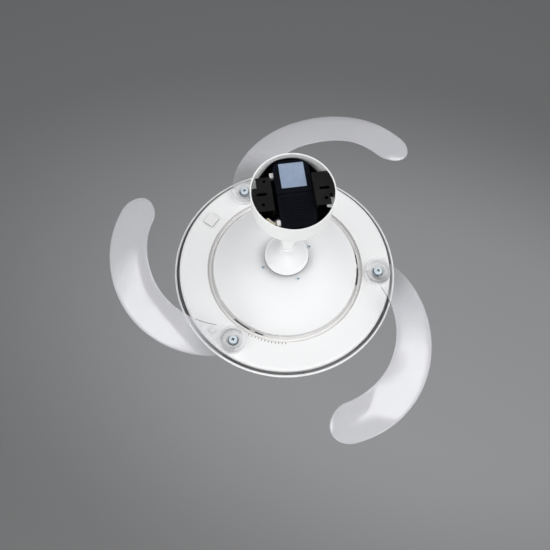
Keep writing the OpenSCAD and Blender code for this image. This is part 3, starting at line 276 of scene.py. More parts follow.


# Paints and plastics: the skin's inputs in order, strength and distance of the bump, the shader's
# plain values, and the inputs after the first of the corner dirt and painted shade, where there are any
paints = {
    "whitePaint": (
        ((0.87, 0.87, 0.873), (0.82, 0.82, 0.81), 0.3, 0.5, 0.12, 700.0, 9.0),
        (0.12, 0.00015), {}, ((0.50, 0.49, 0.47), 0.2, 0.004)),
    # painted light: a paler copy of the white paint for the canopy and downrod, whose upright walls get less
    # light
    "lightenedWhitePaint": (
        ((0.93, 0.93, 0.93), (0.88, 0.88, 0.87), 0.3, 0.5, 0.12, 700.0, 9.0),
        (0.12, 0.00015), {}, ((0.60, 0.59, 0.57), 0.15, 0.004)),
    "plateWhite": (
        ((0.91, 0.91, 0.91), (0.88, 0.88, 0.87), 0.3, 0.5, 0.12, 700.0, 9.0),
        (0.12, 0.00015), {}, ((0.60, 0.59, 0.57), 0.08, 0.003)),
    "whiteMoulding": (
        ((0.86, 0.858, 0.85), (0.80, 0.79, 0.77), 0.4, 0.42, 0.15, 1200.0, 16.0),
        (0.2, 0.0001), {}, ((0.60, 0.56, 0.52), 0.2, 0.003)),
    "warmBlackSteel": (
        ((0.0082, 0.0082, 0.0080), (0.0155, 0.0155, 0.0145), 0.8, 0.6, 0.2, 1600.0, 30.0),
        (0.35, 0.0002), {"Specular IOR Level": 0.10}, ((0.001, 0.001, 0.001), 0.7, 0.004)),
    "blackCasing": (
        ((0.0030, 0.0040, 0.0070), (0.0055, 0.0065, 0.0105), 0.7, 0.55, 0.2, 2200.0, 40.0),
        (0.3, 0.0001), {"Specular IOR Level": 0.06}),
    # black nylon for the hanger ball, and the colour of the painted-shade pieces: vent floors, screw crosses,
    # blade root lines, the cover's gap ring
    "blackNylonAndShade": (
        ((0.02, 0.02, 0.022), (0.035, 0.035, 0.035), 0.6, 0.5, 0.2, 1500.0, 50.0), (0.2, 0.0001), {}),
    "yellowWire": (
        ((0.78, 0.66, 0.33), (0.85, 0.8, 0.62), 0.7, 0.32, 0.15, 3000.0, 90.0),
        (0.1, 0.00005), {"Coat Weight": 0.2}),
    "whiteWire": (
        ((0.8, 0.79, 0.74), (0.68, 0.66, 0.58), 0.6, 0.32, 0.15, 3000.0, 90.0),
        (0.1, 0.00005), {"Coat Weight": 0.2}),
    "violetWire": (
        ((0.13, 0.10, 0.22), (0.22, 0.18, 0.32), 0.6, 0.32, 0.15, 3000.0, 90.0),
        (0.1, 0.00005), {"Coat Weight": 0.2}),
    "magnetGrey": (
        ((0.05, 0.05, 0.055), (0.09, 0.09, 0.09), 0.7, 0.55, 0.2, 1600.0, 60.0),
        (0.3, 0.0001), {"Metallic": 0.4}),
    "boardWhite": (
        ((0.84, 0.85, 0.86), (0.74, 0.76, 0.76), 0.5, 0.3, 0.1, 1500.0, 30.0),
        (0.1, 0.00005), {"Coat Weight": 0.3}),
    "phosphor": (
        ((0.88, 0.72, 0.22), (0.9, 0.82, 0.5), 0.5, 0.3, 0.1, 3000.0, 300.0), (0.1, 0.00005), {}),
    "opalPlastic": (
        ((0.90, 0.90, 0.885), (0.86, 0.86, 0.84), 0.4, 0.3, 0.1, 900.0, 8.0),
        (0.08, 0.0001), {"Subsurface Weight": 0.25, "Subsurface Scale": 0.004}),
    "labelPaper": (
        ((0.27, 0.34, 0.47), (0.36, 0.43, 0.55), 0.7, 0.5, 0.15, 1500.0, 60.0), (0.1, 0.00005), {}),
}

# Metals: the brushed lines' inputs in order, the bump, and how metallic the surface is
metals = {
    "zincSteel": (
        ((0.62, 0.66, 0.72), (0.42, 0.47, 0.55), (1.0, 1.0, 0.3), 2600.0, 0.22), (0.15, 0.0001), 1.0),
    "bluedZinc": (
        ((0.80, 0.88, 0.92), (0.66, 0.76, 0.82), (1.0, 1.0, 0.3), 2200.0, 0.42), (0.15, 0.0001), 0.3),
    "turnedSteel": (
        ((0.60, 0.60, 0.61), (0.46, 0.46, 0.48), (0.05, 0.05, 1.0), 1800.0, 0.2), (0.15, 0.0001), 1.0),
    "castAlloy": (
        ((0.66, 0.67, 0.68), (0.55, 0.56, 0.58), (1.0, 1.0, 1.0), 700.0, 0.42), (0.35, 0.0002), 0.85),
    "laminations": (
        ((0.40, 0.42, 0.45), (0.22, 0.23, 0.25), (0.02, 0.02, 1.0), 1600.0, 0.35), (0.5, 0.0003), 1.0),
    "copperWire": (
        ((0.76, 0.36, 0.16), (0.48, 0.20, 0.08), (0.05, 0.05, 1.0), 1200.0, 0.25), (0.8, 0.0005), 1.0),
}

looks = {}


def makeLooks():
    for name, (skin, *rest) in paints.items():
        looks[name] = dressedMaterial(name, skinGroup, dict(zip(skinInputs, skin)), *rest)
    for name, (brush, bump, metallic) in metals.items():
        looks[name] = dressedMaterial(name, brushGroup, dict(zip(brushInputs, brush)), bump,
                                      {"Metallic": metallic})


def copyLook(source, name):
    looks[name] = looks[source].copy()
    looks[name].name = name
    return looks[name]


# Lays a second colour over a material's own where the mask says
def tintBy(material, mask, colour):
    shader = next(n for n in material.node_tree.nodes if n.type == "BSDF_PRINCIPLED")
    under = shader.inputs["Base Color"].links[0].from_socket
    setInputs(shader, {"Base Color": mixColours(material.node_tree, mask, under, colour)})


# Painted shade on painted parts: the paint under it, the group that says where, its values, the colour of the
# shade
paintedShades = {
    # the canopy is white outside, with painted shade, near black, on its inner wall from a little below its
    # open edge, starting lower towards the sides
    "canopyPaintShaded": ("lightenedWhitePaint", inwardGroup,
                    {"Centre Height": -0.044, "From Height": -0.011, "To Height": -0.016,
                     "Side Drop": 0.022, "Side From": 0.020, "Side To": 0.065}, (0.003, 0.003, 0.004)),
    # the lamp housing is white, with painted shade in grey on its inner wall below its bead
    "housingPaintShaded": ("whitePaint", inwardGroup,
                     {"Centre Height": -0.410, "From Height": -0.3850, "To Height": -0.3866,
                      "Side Drop": 0.0, "Side From": 0.020, "Side To": 0.065}, (0.42, 0.415, 0.425)),
    # the lamp pan is white, with painted shade in grey in a band along its edge
    "panPaintShaded": ("whitePaint", radiusGroup, {"From Radius": 0.226, "To Radius": 0.230}, (0.34, 0.335, 0.345)),
}


def makePaintedShades():
    for name, (paint, group, values, colour) in paintedShades.items():
        material = copyLook(paint, name)
        tintBy(material, placeGroup(material.node_tree, group, values)[0], colour)


plateLook = {
    "from": 0.156, "to": 0.182,  # radii across the groove, over which its lighter floor and warm lines lie
    "lines": ((0.0, 0.0), (0.30, 0.0), (0.35, 0.9), (0.40, 0.0), (0.60, 0.0), (0.65, 0.9), (0.70, 0.0),
              (0.90, 0.0), (1.0, 0.0)),
    "colour": (0.86, 0.73, 0.64), "strength": 0.5,
    # painted light: the groove's floor is painted near pure white against the shade that falls in the groove
    "floor": ((0.0, 1.0), (0.70, 1.0), (0.76, 0.0), (0.85, 0.0), (1.0, 0.0)),
    "floorPaintedLight": (0.985, 0.98, 0.975), "floorStrength": 1.0,
}


def curveMask(tree, value, points, strength):
    band = addNode(tree, "ShaderNodeFloatCurve", {"Value": value})
    curve = band.mapping.curves[0]
    curve.points[0].location = (0.0, points[0][1])
    curve.points[1].location = (1.0, points[-1][1])
    for x, y in points[1:-1]:
        curve.points.new(x, y)
    band.mapping.update()
    return addMath(tree, "MULTIPLY", band.outputs["Value"], strength)


# The blade plate: moulded white with thin warm lines in its groove, and the groove's floor painted lighter as
# painted light
def makePlateLook():
    material = copyLook("plateWhite", "plateMoulding")
    tree = material.node_tree
    across = radiusShare(tree, plateLook["from"], plateLook["to"])
    tintBy(material, curveMask(tree, across, plateLook["floor"], plateLook["floorStrength"]),
           plateLook["floorPaintedLight"])
    tintBy(material, curveMask(tree, across, plateLook["lines"], plateLook["strength"]), plateLook["colour"])


padShadeLook = {"colour": (0.16, 0.16, 0.165), "steepest": 0.7}


# A glued balance pad: white on top, with painted shade in dark grey on its steeper side faces
def makePadLook():
    material = copyLook("whiteMoulding", "padMouldingShaded")
    tree = material.node_tree
    normal = addNode(tree, "ShaderNodeTexCoord", {}).outputs["Normal"]
    upward = addNode(tree, "ShaderNodeSeparateXYZ", {"Vector": normal}).outputs["Z"]
    tintBy(material, addMath(tree, "LESS_THAN", upward, padShadeLook["steepest"]), padShadeLook["colour"])


clearLook = {
    "skin": ((0.86, 0.855, 0.90), (0.80, 0.80, 0.86), 0.35, 0.13, 0.08, 260.0, 7.0), "bump": (0.03, 0.0003),
    "rootAlpha": 0.07, "bladeAlpha": 0.38,
    "clearUntil": 0.036, "hazyFrom": 0.11,  # distances from the pivot between which the haze grows
    "rimAlpha": 0.9, "rimBlend": 0.35, "rimPower": 2.0,
    "hubEdge": 0.0305, "hubFade": 0.001, "hubAlpha": 0.5,
    "edgeShadeColour": (0.02, 0.02, 0.025), "edgeFrom": 0.100, "edgeTo": 0.085, "edgeAlpha": 0.95, "steepest": 0.6,
    "plain": {"IOR": 1.6, "Specular IOR Level": 0.8, "Coat Roughness": 0.14, "Coat IOR": 2.2},
}


# Clear blade plastic: almost invisible at the hub, hazier along the blade, with crisp thin edges and painted
# shade on its edge walls near the root
def makeClearLook():
    c = clearLook
    material, tree, shader = newMaterial("clearBladePlastic")
    look = placeGroup(tree, skinGroup, dict(zip(skinInputs, c["skin"])))
    haze = addNode(tree, "ShaderNodeMapRange",
                   {"Value": radiusShare(tree, c["clearUntil"], c["hazyFrom"]),
                    "To Min": c["rootAlpha"], "To Max": c["bladeAlpha"]},
                   interpolation_type="SMOOTHSTEP").outputs["Result"]
    facing = addNode(tree, "ShaderNodeLayerWeight", {"Blend": c["rimBlend"]}).outputs["Facing"]
    alpha = mixNumbers(tree, addMath(tree, "POWER", facing, c["rimPower"]), haze, c["rimAlpha"])
    outside = radiusShare(tree, c["hubEdge"], c["hubEdge"] + c["hubFade"])
    thin = addNode(tree, "ShaderNodeMapRange", {"Value": outside, "To Min": c["hubAlpha"], "To Max": 1.0})
    thinned = addMath(tree, "MULTIPLY", alpha, thin.outputs["Result"])
    # between the hub and the rim the plastic's edge walls get painted shade, near black, for the dark line
    # the edge shows on the white plate
    normal = addNode(tree, "ShaderNodeTexCoord", {}).outputs["Normal"]
    lean = addMath(tree, "ABSOLUTE", addNode(tree, "ShaderNodeSeparateXYZ", {"Vector": normal}).outputs["Z"])
    wall = addMath(tree, "LESS_THAN", lean, c["steepest"])
    band = addMath(tree, "MULTIPLY", radiusShare(tree, c["edgeFrom"], c["edgeTo"]), outside)
    rootEdgeShade = addMath(tree, "MULTIPLY", band, wall)
    setInputs(shader, {
        "Base Color": mixColours(tree, rootEdgeShade, look["Colour"], c["edgeShadeColour"]),
        "Roughness": look["Roughness"],
        "Alpha": mixNumbers(tree, rootEdgeShade, thinned, c["edgeAlpha"]),
        "Coat Weight": addMath(tree, "SUBTRACT", 1.0, rootEdgeShade),
        "Normal": addBump(tree, look["Height"], *c["bump"]), **c["plain"]})
    looks["clearBlade"] = material


makeLooks()
makePaintedShades()
makePadLook()
makePlateLook()
makeClearLook()

nodeLooks = {
    "whitePaint": ["dome_cover", "coupling_cover"],
    "lightenedWhitePaint": ["downrod"],
    "canopyPaintShaded": ["canopy"],
    "housingPaintShaded": ["lamp_housing"],
    "panPaintShaded": ["lamp_pan"],
    "whiteMoulding": ["wire_connectors", "led_driver"],
    "padMouldingShaded": ["balance_pads"],
    "plateMoulding": ["blade_plate"],
    "warmBlackSteel": ["ceiling_bracket"],
    "blackCasing": ["receiver_box"],
    "blackNylonAndShade": ["hanger_ball"],
    "yellowWire": ["yellow_lead", "rod_leads"],
    "whiteWire": ["white_lead"],
    "violetWire": ["violet_lead"],
    "zincSteel": ["canopy_screws", "hanger_pin", "coupling_pin", "pin_clip", "yoke_screws", "pan_nut",
                  "lamp_screws", "diffuser_clips", "shell_bolts", "plate_screws", "return_springs",
                  "back_iron"],
    "bluedZinc": ["pivot_screws", "pivot_posts", "dome_screws"],
    "turnedSteel": ["motor_shaft", "bearing_inner_races", "bearing_outer_races", "bearing_balls",
                    "bearing_spacer"],
    "castAlloy": ["shaft_yoke", "motor_top_shell", "motor_bottom_shell"],
    "laminations": ["stator_core"],
    "copperWire": ["stator_windings"],
    "magnetGrey": ["magnet_ring"],
    "boardWhite": ["led_board"],
    "phosphor": ["led_chips"],
    "opalPlastic": ["diffuser"],
    "clearBlade": ["blade_1", "blade_2", "blade_3"],
}
for lookName, members in nodeLooks.items():
    for slot in (slot for member in members for slot in nodes[member].material_slots):
        slot.material = looks[lookName]
print("stage: materials done,", len(looks), "looks")


def makePiece(name, points, faces, look, body, origin=(0, 0, 0), smoothAngle=35.0):
    mesh = bpy.data.meshes.new(name)
    mesh.from_pydata([tuple(p) for p in points], [], faces)
    mesh.validate()
    piece = bpy.data.objects.new(name, mesh)
    piece.location = origin
    bpy.context.scene.collection.objects.link(piece)
    piece.data.materials.append(looks[look])
    mesh.shade_smooth()
    mesh.set_sharp_from_angle(angle=math.radians(smoothAngle))
    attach(piece, body)
    return piece


# A closed outline of radii and heights, turned round the upright axis
def lathe(profile, steps=96):
    points = [(r * math.cos(a), r * math.sin(a), z) for a in (2 * math.pi * i / steps for i in range(steps))
              for r, z in profile]
    n = len(profile)
    faces = [(i * n + k, ((i + 1) % steps) * n + k, ((i + 1) % steps) * n + (k + 1) % n, i * n + (k + 1) % n)
             for i in range(steps) for k in range(n)]
    return points, faces


# An upright prism over a closed outline that runs anticlockwise
def prism(outline, low, high):
    n = len(outline)
    points = [(x, y, z) for z in (low, high) for x, y in outline]
    faces = [(i, (i + 1) % n, n + (i + 1) % n, n + i) for i in range(n)]
    return points, faces + [tuple(range(n))[::-1], tuple(range(n, 2 * n))]


# A round tube along a line of points
def tubeRings(line, radius, sides):
    points, faces = [], []
    normal = Vector((0, 0, 1))
    for i, place in enumerate(line):
        ahead = (line[min(i + 1, len(line) - 1)] - line[max(i - 1, 0)]).normalized()
        normal = (normal - ahead * normal.dot(ahead)).normalized()
        side = ahead.cross(normal)
        points += [place + radius * (math.cos(2 * math.pi * k / sides) * normal
                                     + math.sin(2 * math.pi * k / sides) * side) for k in range(sides)]
    for i in range(len(line) - 1):
        faces += [(i * sides + k, i * sides + (k + 1) % sides, (i + 1) * sides + (k + 1) % sides,
                   (i + 1) * sides + k) for k in range(sides)]
    last = (len(line) - 1) * sides
    return points, faces + [tuple(range(sides))[::-1], tuple(last + k for k in range(sides))]


# One shape at several places, each a turn in degrees and a shift
def copies(shape, places):
    points, faces = [], []
    for turn, shift in places:
        spin = Matrix.Rotation(math.radians(turn), 3, "Z")
        faces += [tuple(len(points) + k for k in face) for face in shape[1]]
        points += [spin @ Vector(p) + Vector(shift) for p in shape[0]]
    return points, faces


def onCircle(radius, turn, z):
    return (radius * math.cos(math.radians(turn)), radius * math.sin(math.radians(turn)), z)


def smoothStep(x, a, b):
    t = max(0.0, min(1.0, (x - a) / (b - a)))
    return t * t * (3 - 2 * t)


# Angles along a blade are in degrees round the middle of its arcs, from the root to the tip
blade = {
    "pivotRadius": 0.209, "firstPivot": -11.2, "openAngles": (54.0, 54.0, 44.5), "rimHeight": -0.383,
    "outerRadius": 0.238, "centre": 0.204, "innerRadius": 0.179, "innerShift": 0.0275, "span": 138.7,
    "tipLength": 0.044, "thickness": 0.0026, "crown": 0.007, "crownWidth": 0.040, "rootHeight": 0.038,
    "tipRise": 0.0185, "pitch": 0.34, "rootPitch": 0.22, "tipPitch": 0.22,
    # where the blade widens from its hub, takes its crown and pitch, rises, and flattens again
    "widens": (0, 16), "crowns": (5, 40), "pitches": (5, 60), "rises": (60, 112), "flattens": (90, 132),
    "hubRadius": 0.030, "cupRadius": 0.020, "ringWall": 0.0022, "cupHeight": 0.041,
    "hubBase": 0.0206, "hubFloor": 0.003, "bossRadius": 0.010, "bossHeight": 0.0278, "bore": 0.00605,
    "hubChamfer": 0.0008, "floorChamfer": 0.0006, "bossChamfer": 0.0005, "cut": (0.0238, 0.06),
    "stopRadius": 0.0235, "stopPin": 0.0028, "stopFoot": 0.0156, "stopJoin": 0.001, "stepsStop": 32,
    "stepsAlong": 90, "stepsTip": 26, "stepsAcross": 22, "crowding": 0.35, "lastTipStep": 89.2,
    "edgeLimit": 0.8, "smoothAngle": 38,
}


def innerEdge(t):
    c = -blade["innerShift"] * math.sin(math.radians(t))
    return c + math.sqrt(blade["innerRadius"] ** 2 - blade["innerShift"] ** 2 + c * c)


def outerEdge(t):
    spare = blade["outerRadius"] - blade["centre"] - blade["hubRadius"]
    return blade["outerRadius"] - spare * (1 - smoothStep(t, *blade["widens"]))


tipAngle = math.degrees(blade["tipLength"] / ((outerEdge(blade["span"]) + innerEdge(blade["span"])) / 2))


def halfWidth(t):
    k = max(0.0, (t - blade["span"] + tipAngle) / tipAngle)
    return (outerEdge(t) - innerEdge(t)) / 2 * math.sqrt(max(0.0, 1 - k * k))


def bladePoint(t, across, offset):
    h = halfWidth(t)
    r = (outerEdge(t) + innerEdge(t)) / 2 + across
    u = across / h if h > 1e-6 else 0.0
    pitch = blade["rootPitch"] + (blade["pitch"] - blade["rootPitch"]) * smoothStep(t, *blade["pitches"])
    pitch += (blade["tipPitch"] - blade["pitch"]) * smoothStep(t, *blade["flattens"])
    crown = blade["crown"] * min(1.0, h / blade["crownWidth"]) * (1 - u * u) * smoothStep(t, *blade["crowns"])
    z = blade["rootHeight"] + blade["tipRise"] * smoothStep(t, *blade["rises"]) - pitch * across + crown
    a = math.radians(t)
    return (r * math.cos(a) - blade["centre"], -r * math.sin(a), z + offset)


# One closed section across the blade, with round edges; its points crowd towards them
def bladeSection(t):
    h, half, n = halfWidth(t), blade["thickness"] / 2, blade["stepsAcross"]
    edge = min(half, h * blade["edgeLimit"])
    rows = []
    for i in range(n + 1):
        s = -math.cos(math.pi * i / n)
        across = h * (blade["crowding"] * s + (1 - blade["crowding"]) * (2 * i / n - 1))
        inward = (h - abs(across)) / edge
        rows.append((across, half * math.sqrt(max(0.0, 1 - max(0.0, 1 - inward) ** 2))))
    top = [bladePoint(t, a, o) for a, o in rows]
    under = [bladePoint(t, a, -o) for a, o in reversed(rows[1:-1])]
    return top + under


def bladeShell():
    split = blade["span"] - tipAngle
    stations = [split * i / blade["stepsAlong"] for i in range(blade["stepsAlong"] + 1)]
    stations += [split + tipAngle * math.sin(math.radians(blade["lastTipStep"] * i / blade["stepsTip"]))
                 for i in range(1, blade["stepsTip"] + 1)]
    sections = [bladeSection(t) for t in stations]
    n = len(sections[0])
    points = [p for section in sections for p in section]
    faces = [(i * n + k, i * n + (k + 1) % n, (i + 1) * n + (k + 1) % n, (i + 1) * n + k)
             for i in range(len(sections) - 1) for k in range(n)]
    faces.append(tuple(range(n))[::-1])
    faces.append(tuple((len(sections) - 1) * n + k for k in range(n)))
    return points, faces


def roundedLip(r0, r1, z, steps=6):
    c, radius = (r0 + r1) / 2, abs(r0 - r1) / 2
    turns = [math.pi * i / steps for i in range(steps + 1)]
    return [(c + (r0 - c) * math.cos(a), z - radius + radius * math.sin(a)) for a in turns]


def hubProfile():
    b = blade
    wall, floor = b["ringWall"], b["hubBase"] + b["hubFloor"]
    low, small, top = b["hubChamfer"], b["floorChamfer"], b["bossChamfer"]
    return ([(b["bore"], b["hubBase"]), (b["hubRadius"] - low, b["hubBase"]),
             (b["hubRadius"], b["hubBase"] + low)]
            + roundedLip(b["hubRadius"], b["hubRadius"] - wall, b["rootHeight"])
            + [(b["hubRadius"] - wall, floor + small), (b["hubRadius"] - wall - small, floor),
               (b["cupRadius"] + wall + small, floor), (b["cupRadius"] + wall, floor + small)]
            + roundedLip(b["cupRadius"] + wall, b["cupRadius"], b["cupHeight"])
            + [(b["cupRadius"], floor + small), (b["cupRadius"] - small, floor),
               (b["bossRadius"] + small, floor), (b["bossRadius"], floor + small),
               (b["bossRadius"], b["bossHeight"] - top), (b["bossRadius"] - top, b["bossHeight"]),
               (b["bore"], b["bossHeight"])])


def rawObject(name, points, faces, turn):
    mesh = bpy.data.meshes.new(name)
    spin = Matrix.Rotation(math.radians(turn), 3, "Z")
    mesh.from_pydata([tuple(spin @ Vector(p)) for p in points], [], faces)
    work = bmesh.new()
    work.from_mesh(mesh)
    bmesh.ops.recalc_face_normals(work, faces=work.faces)
    work.to_mesh(mesh)
    work.free()
    item = bpy.data.objects.new(name, mesh)
    bpy.context.scene.collection.objects.link(item)
    return item


def cutOrJoin(base, tool, operation):
    step = base.modifiers.new("step", "BOOLEAN")
    step.operation, step.object, step.solver = operation, tool, "EXACT"
    bpy.context.view_layer.update()
    done = bpy.data.meshes.new_from_object(base.evaluated_get(bpy.context.evaluated_depsgraph_get()))
    base.modifiers.clear()
    base.data = done
    bpy.data.objects.remove(tool)


def cylinder(radius, low, high, centre=(0, 0), steps=48):
    turns = [2 * math.pi * i / steps for i in range(steps)]
    outline = [(centre[0] + radius * math.cos(a), centre[1] + radius * math.sin(a)) for a in turns]
    return prism(outline, low, high)


def pivotTurn(number):
    return blade["firstPivot"] + 120 * number


def makeBlade(number):
    turn = pivotTurn(number) + blade["openAngles"][number]
    shell = rawObject(f"clearBlade{number + 1}", *bladeShell(), turn)
    cup = rawObject("cup", *cylinder(blade["cupRadius"] + blade["ringWall"] / 2, *blade["cut"]), turn)
    cutOrJoin(shell, cup, "DIFFERENCE")
    cutOrJoin(shell, rawObject("hub", *lathe(hubProfile()), turn), "UNION")
    stop = cylinder(blade["stopPin"], blade["stopFoot"], blade["hubBase"] + blade["stopJoin"],
                    (-blade["stopRadius"], 0), blade["stepsStop"])
    cutOrJoin(shell, rawObject("stop", *stop, turn), "UNION")
    shell.location = onCircle(blade["pivotRadius"], pivotTurn(number), blade["rimHeight"])
    shell.data.materials.clear()
    shell.data.materials.append(looks["clearBlade"])
    shell.data.shade_smooth()
    shell.data.set_sharp_from_angle(angle=math.radians(blade["smoothAngle"]))
    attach(shell, f"blade_{number + 1}_arm")
    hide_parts(f"blade_{number + 1}")


for bladeNumber in range(3):
    makeBlade(bladeNumber)
print("stage: blades done")

# Route of the middle lead in millimetres, from part to part; the last two numbers of each point say
# where the other two leads lie beside it
leads = {
    "radius": 0.0011, "pitch": 0.0027, "steps": 8, "rodSteps": 3, "bevelSteps": 5,
    "route": [(-37.8, -55, -16.5, 0, 1), (-42.8, -55, -16, 0, 1), (-50, -51, -14, 0.8, 0.8),
              (-54.5, -44, -14, 1, 0.3), (-54, -40, -22, 1, -0.4), (-48, -39.5, -32, 0.6, -1),
              (-38, -40, -37, 0.4, -1), (-22, -30, -38, 0.6, -0.8), (-10, -12, -39, 0.9, -0.5),
              (-6, -3, -44, 0.5, -1), (-6, 0, -50, 0, -1), (-6, 0, -60.6, 0, -1)],
    "rodRoute": [(-6, 0, -63.5), (-6, 0, -276), (-6, 0, -277), (-5.8, 0, -282), (-4.6, 0, -288),
                 (-2.4, 0, -295), (-2, 0, -300), (-2, 0, -412), (-2, 0, -416), (0, 0, -421),
                 (7, 0, -423.5), (15, 0, -419), (20, 0, -416), (23.7, 0, -416)],
    "pieces": (("yellow", 0, "yellowWire", "yellow_wire"), ("white", 1, "whiteWire", "white_wire"),
               ("violet", -1, "violetWire", "violet_wire")),
}


# A smooth line through the given points
def throughPoints(points, steps):
    line = []
    for i in range(len(points) - 1):
        a, b, c, d = (Vector(points[min(max(k, 0), len(points) - 1)]) for k in (i - 1, i, i + 1, i + 2))
        for k in range(steps):
            t = k / steps
            line.append((2 * b + (c - a) * t + (2 * a - 5 * b + 4 * c - d) * t * t
                         + (3 * b - a - 3 * c + d) * t ** 3) / 2)
    return line + [Vector(points[-1])]


def roundWire(name, points, look, body):
    curve = bpy.data.curves.new(name, "CURVE")
    curve.dimensions = "3D"
    curve.bevel_depth = leads["radius"]
    curve.bevel_resolution = leads["bevelSteps"]
    curve.use_fill_caps = True
    spline = curve.splines.new("POLY")
    spline.points.add(len(points) - 1)
    for knot, point in zip(spline.points, points):
        knot.co = (*point, 1.0)
    spline.use_smooth = True
    wire = bpy.data.objects.new(name, curve)
    bpy.context.scene.collection.objects.link(wire)
    curve.materials.append(looks[look])
    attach(wire, body)
    return wire


def makeLeads():
    for colour, side, look, slotName in leads["pieces"]:
        shift = side * leads["pitch"]
        route = [(x / 1000 + shift * sx, y / 1000 + shift * sy, z / 1000)
                 for x, y, z, sx, sy in leads["route"]]
        line = throughPoints(route, leads["steps"])
        wire = roundWire(f"{colour}Lead", line, look, "ceiling_mount")
        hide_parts(f"{colour}_lead")
        rod = [(x / 1000, y / 1000 + shift, z / 1000) for x, y, z in leads["rodRoute"]]
        inner = roundWire(f"{colour}RodLead", throughPoints(rod, leads["rodSteps"]), look, "hanger")
        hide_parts("rod_leads")


makeLeads()
print("stage: leads done")

spring = {"radius": 0.0084, "wire": 0.0007, "turns": 2.5, "pitch": 0.0019, "foot": -0.3684, "leg": 0.004,
          "stepsTurn": 32, "stepsLeg": 6, "sides": 12, "smoothAngle": 60}


# Torsion spring round each pivot post: one wire, with a straight leg at both ends
def springLine():
    coil = []
    for i in range(int(spring["turns"] * spring["stepsTurn"]) + 1):
        a = 2 * math.pi * i / spring["stepsTurn"]
        coil.append(Vector((spring["radius"] * math.cos(a), spring["radius"] * math.sin(a),
                            spring["foot"] + spring["pitch"] * i / spring["stepsTurn"])))
    start = (coil[0] - coil[1]).normalized() * spring["leg"]
    end = (coil[-1] - coil[-2]).normalized() * spring["leg"]
    steps = spring["stepsLeg"]
    return ([coil[0] + start * (1 - k / steps) for k in range(steps)] + coil
            + [coil[-1] + end * (k + 1) / steps for k in range(steps)])


def makeSprings():
    places = [(pivotTurn(k), onCircle(blade["pivotRadius"], pivotTurn(k), 0)) for k in range(3)]
    points, faces = copies(tubeRings(springLine(), spring["wire"], spring["sides"]), places)
    coils = makePiece("returnSprings", points, faces, "zincSteel", "rotor", smoothAngle=spring["smoothAngle"])
    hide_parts("return_springs")


makeSprings()
print("stage: springs done")

label = {"low": (-0.0190, 0.0125), "high": (0.0280, 0.0635), "corner": 0.0015, "cornerSteps": 6,
         "thickness": 0.0004, "sink": 0.0005}


# Bare paper plate on the receiver, a little below the highest point of its case
def makeLabel():
    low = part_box("receiver_box")[1].z - label["sink"]
    (x0, y0), (x1, y1), c, steps = label["low"], label["high"], label["corner"], label["cornerSteps"]
    corners = ((x1 - c, y1 - c), (x0 + c, y1 - c), (x0 + c, y0 + c), (x1 - c, y0 + c))
    ring = []
    for quarter, (cx, cy) in enumerate(corners):
        for i in range(steps + 1):
            a = math.radians(90 * quarter + 90 * i / steps)
            ring.append((cx + c * math.cos(a), cy + c * math.sin(a)))
    points, faces = prism(ring, low, low + label["thickness"])
    makePiece("bareLabel", points, faces, "labelPaper", "ceiling_mount")


# Angles round the plate are in degrees: the first vent's and the step to the next
vents = {"first": -125.1, "pitch": 2.46, "number": 12, "from": 0.1746, "to": 0.1797, "width": 0.0022,
         "height": -0.3769, "thickness": 0.0002}


# Painted shade in the row of vents beside one pivot: a thin dark sheet on each vent's floor
def makeVentFloors():
    half = vents["width"] / 2
    outline = [(vents["from"], -half), (vents["to"], -half), (vents["to"], half), (vents["from"], half)]
    floor = prism(outline, vents["height"], vents["height"] + vents["thickness"])
    turns = [vents["first"] + vents["pitch"] * k for k in range(vents["number"])]
    points, faces = copies(floor, [(turn, (0, 0, 0)) for turn in turns])
    makePiece("ventShadeFloors", points, faces, "blackNylonAndShade", "rotor")


# Turns are in degrees: the first screw's and the step to the next
recess = {"reach": 0.0036, "arm": 0.0011, "thickness": 0.0001, "lift": 0.00002, "turns": (25, 40),
          "domeReach": 0.0020, "domeRadius": 0.057, "domeFirst": 18.3, "domeTurns": (20, 35)}


# Painted shade for the cross recesses of the screws that show: a thin dark cross laid on each head
def makeRecesses(name, reach, places):
    arm = reach * recess["arm"] / recess["reach"]
    outline = [(arm, arm), (arm, reach), (-arm, reach), (-arm, arm), (-reach, arm), (-reach, -arm),
               (-arm, -arm), (-arm, -reach), (arm, -reach), (arm, -arm), (reach, -arm), (reach, arm)]
    points, faces = copies(prism(outline, recess["lift"], recess["lift"] + recess["thickness"]), places)
    makePiece(name, points, faces, "blackNylonAndShade", "rotor")


def makeScrewRecesses():
    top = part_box("pivot_screws")[1].z
    first, step = recess["turns"]
    places = [(first + step * k, onCircle(blade["pivotRadius"], pivotTurn(k), top)) for k in range(3)]
    makeRecesses("pivotScrewRecessShades", recess["reach"], places)
    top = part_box("dome_screws")[1].z
    first, step = recess["domeTurns"]
    places = [(first + step * k, onCircle(recess["domeRadius"], recess["domeFirst"] + 90 * k, top))
              for k in range(4)]
    makeRecesses("domeScrewRecessShades", recess["domeReach"], places)


# Painted shade along the inner edge of each blade's root: a thin dark tube for the dark line that edge shows
# over the white plate
rootLine = {"from": 10.0, "to": 26.0, "steps": 18, "radius": 0.00055, "sides": 8}


def makeRootLines():
    span = rootLine["to"] - rootLine["from"]
    for number in range(3):
        spin = Matrix.Rotation(math.radians(pivotTurn(number) + blade["openAngles"][number]), 3, "Z")
        line = []
        for i in range(rootLine["steps"] + 1):
            t = rootLine["from"] + span * i / rootLine["steps"]
            line.append(spin @ Vector(bladePoint(t, -halfWidth(t), 0.0)))
        points, faces = tubeRings(line, rootLine["radius"], rootLine["sides"])
        origin = onCircle(blade["pivotRadius"], pivotTurn(number), blade["rimHeight"])
        piece = makePiece(f"bladeRootShadeLine{number + 1}", points, faces, "blackNylonAndShade",
                          f"blade_{number + 1}_arm", origin)


# Painted shade in the gap under the coupling cover's edge: a thin dark ring
coverGapShade = {"inner": 0.0465, "outer": 0.0489, "top": -0.0001, "bottom": -0.0009}


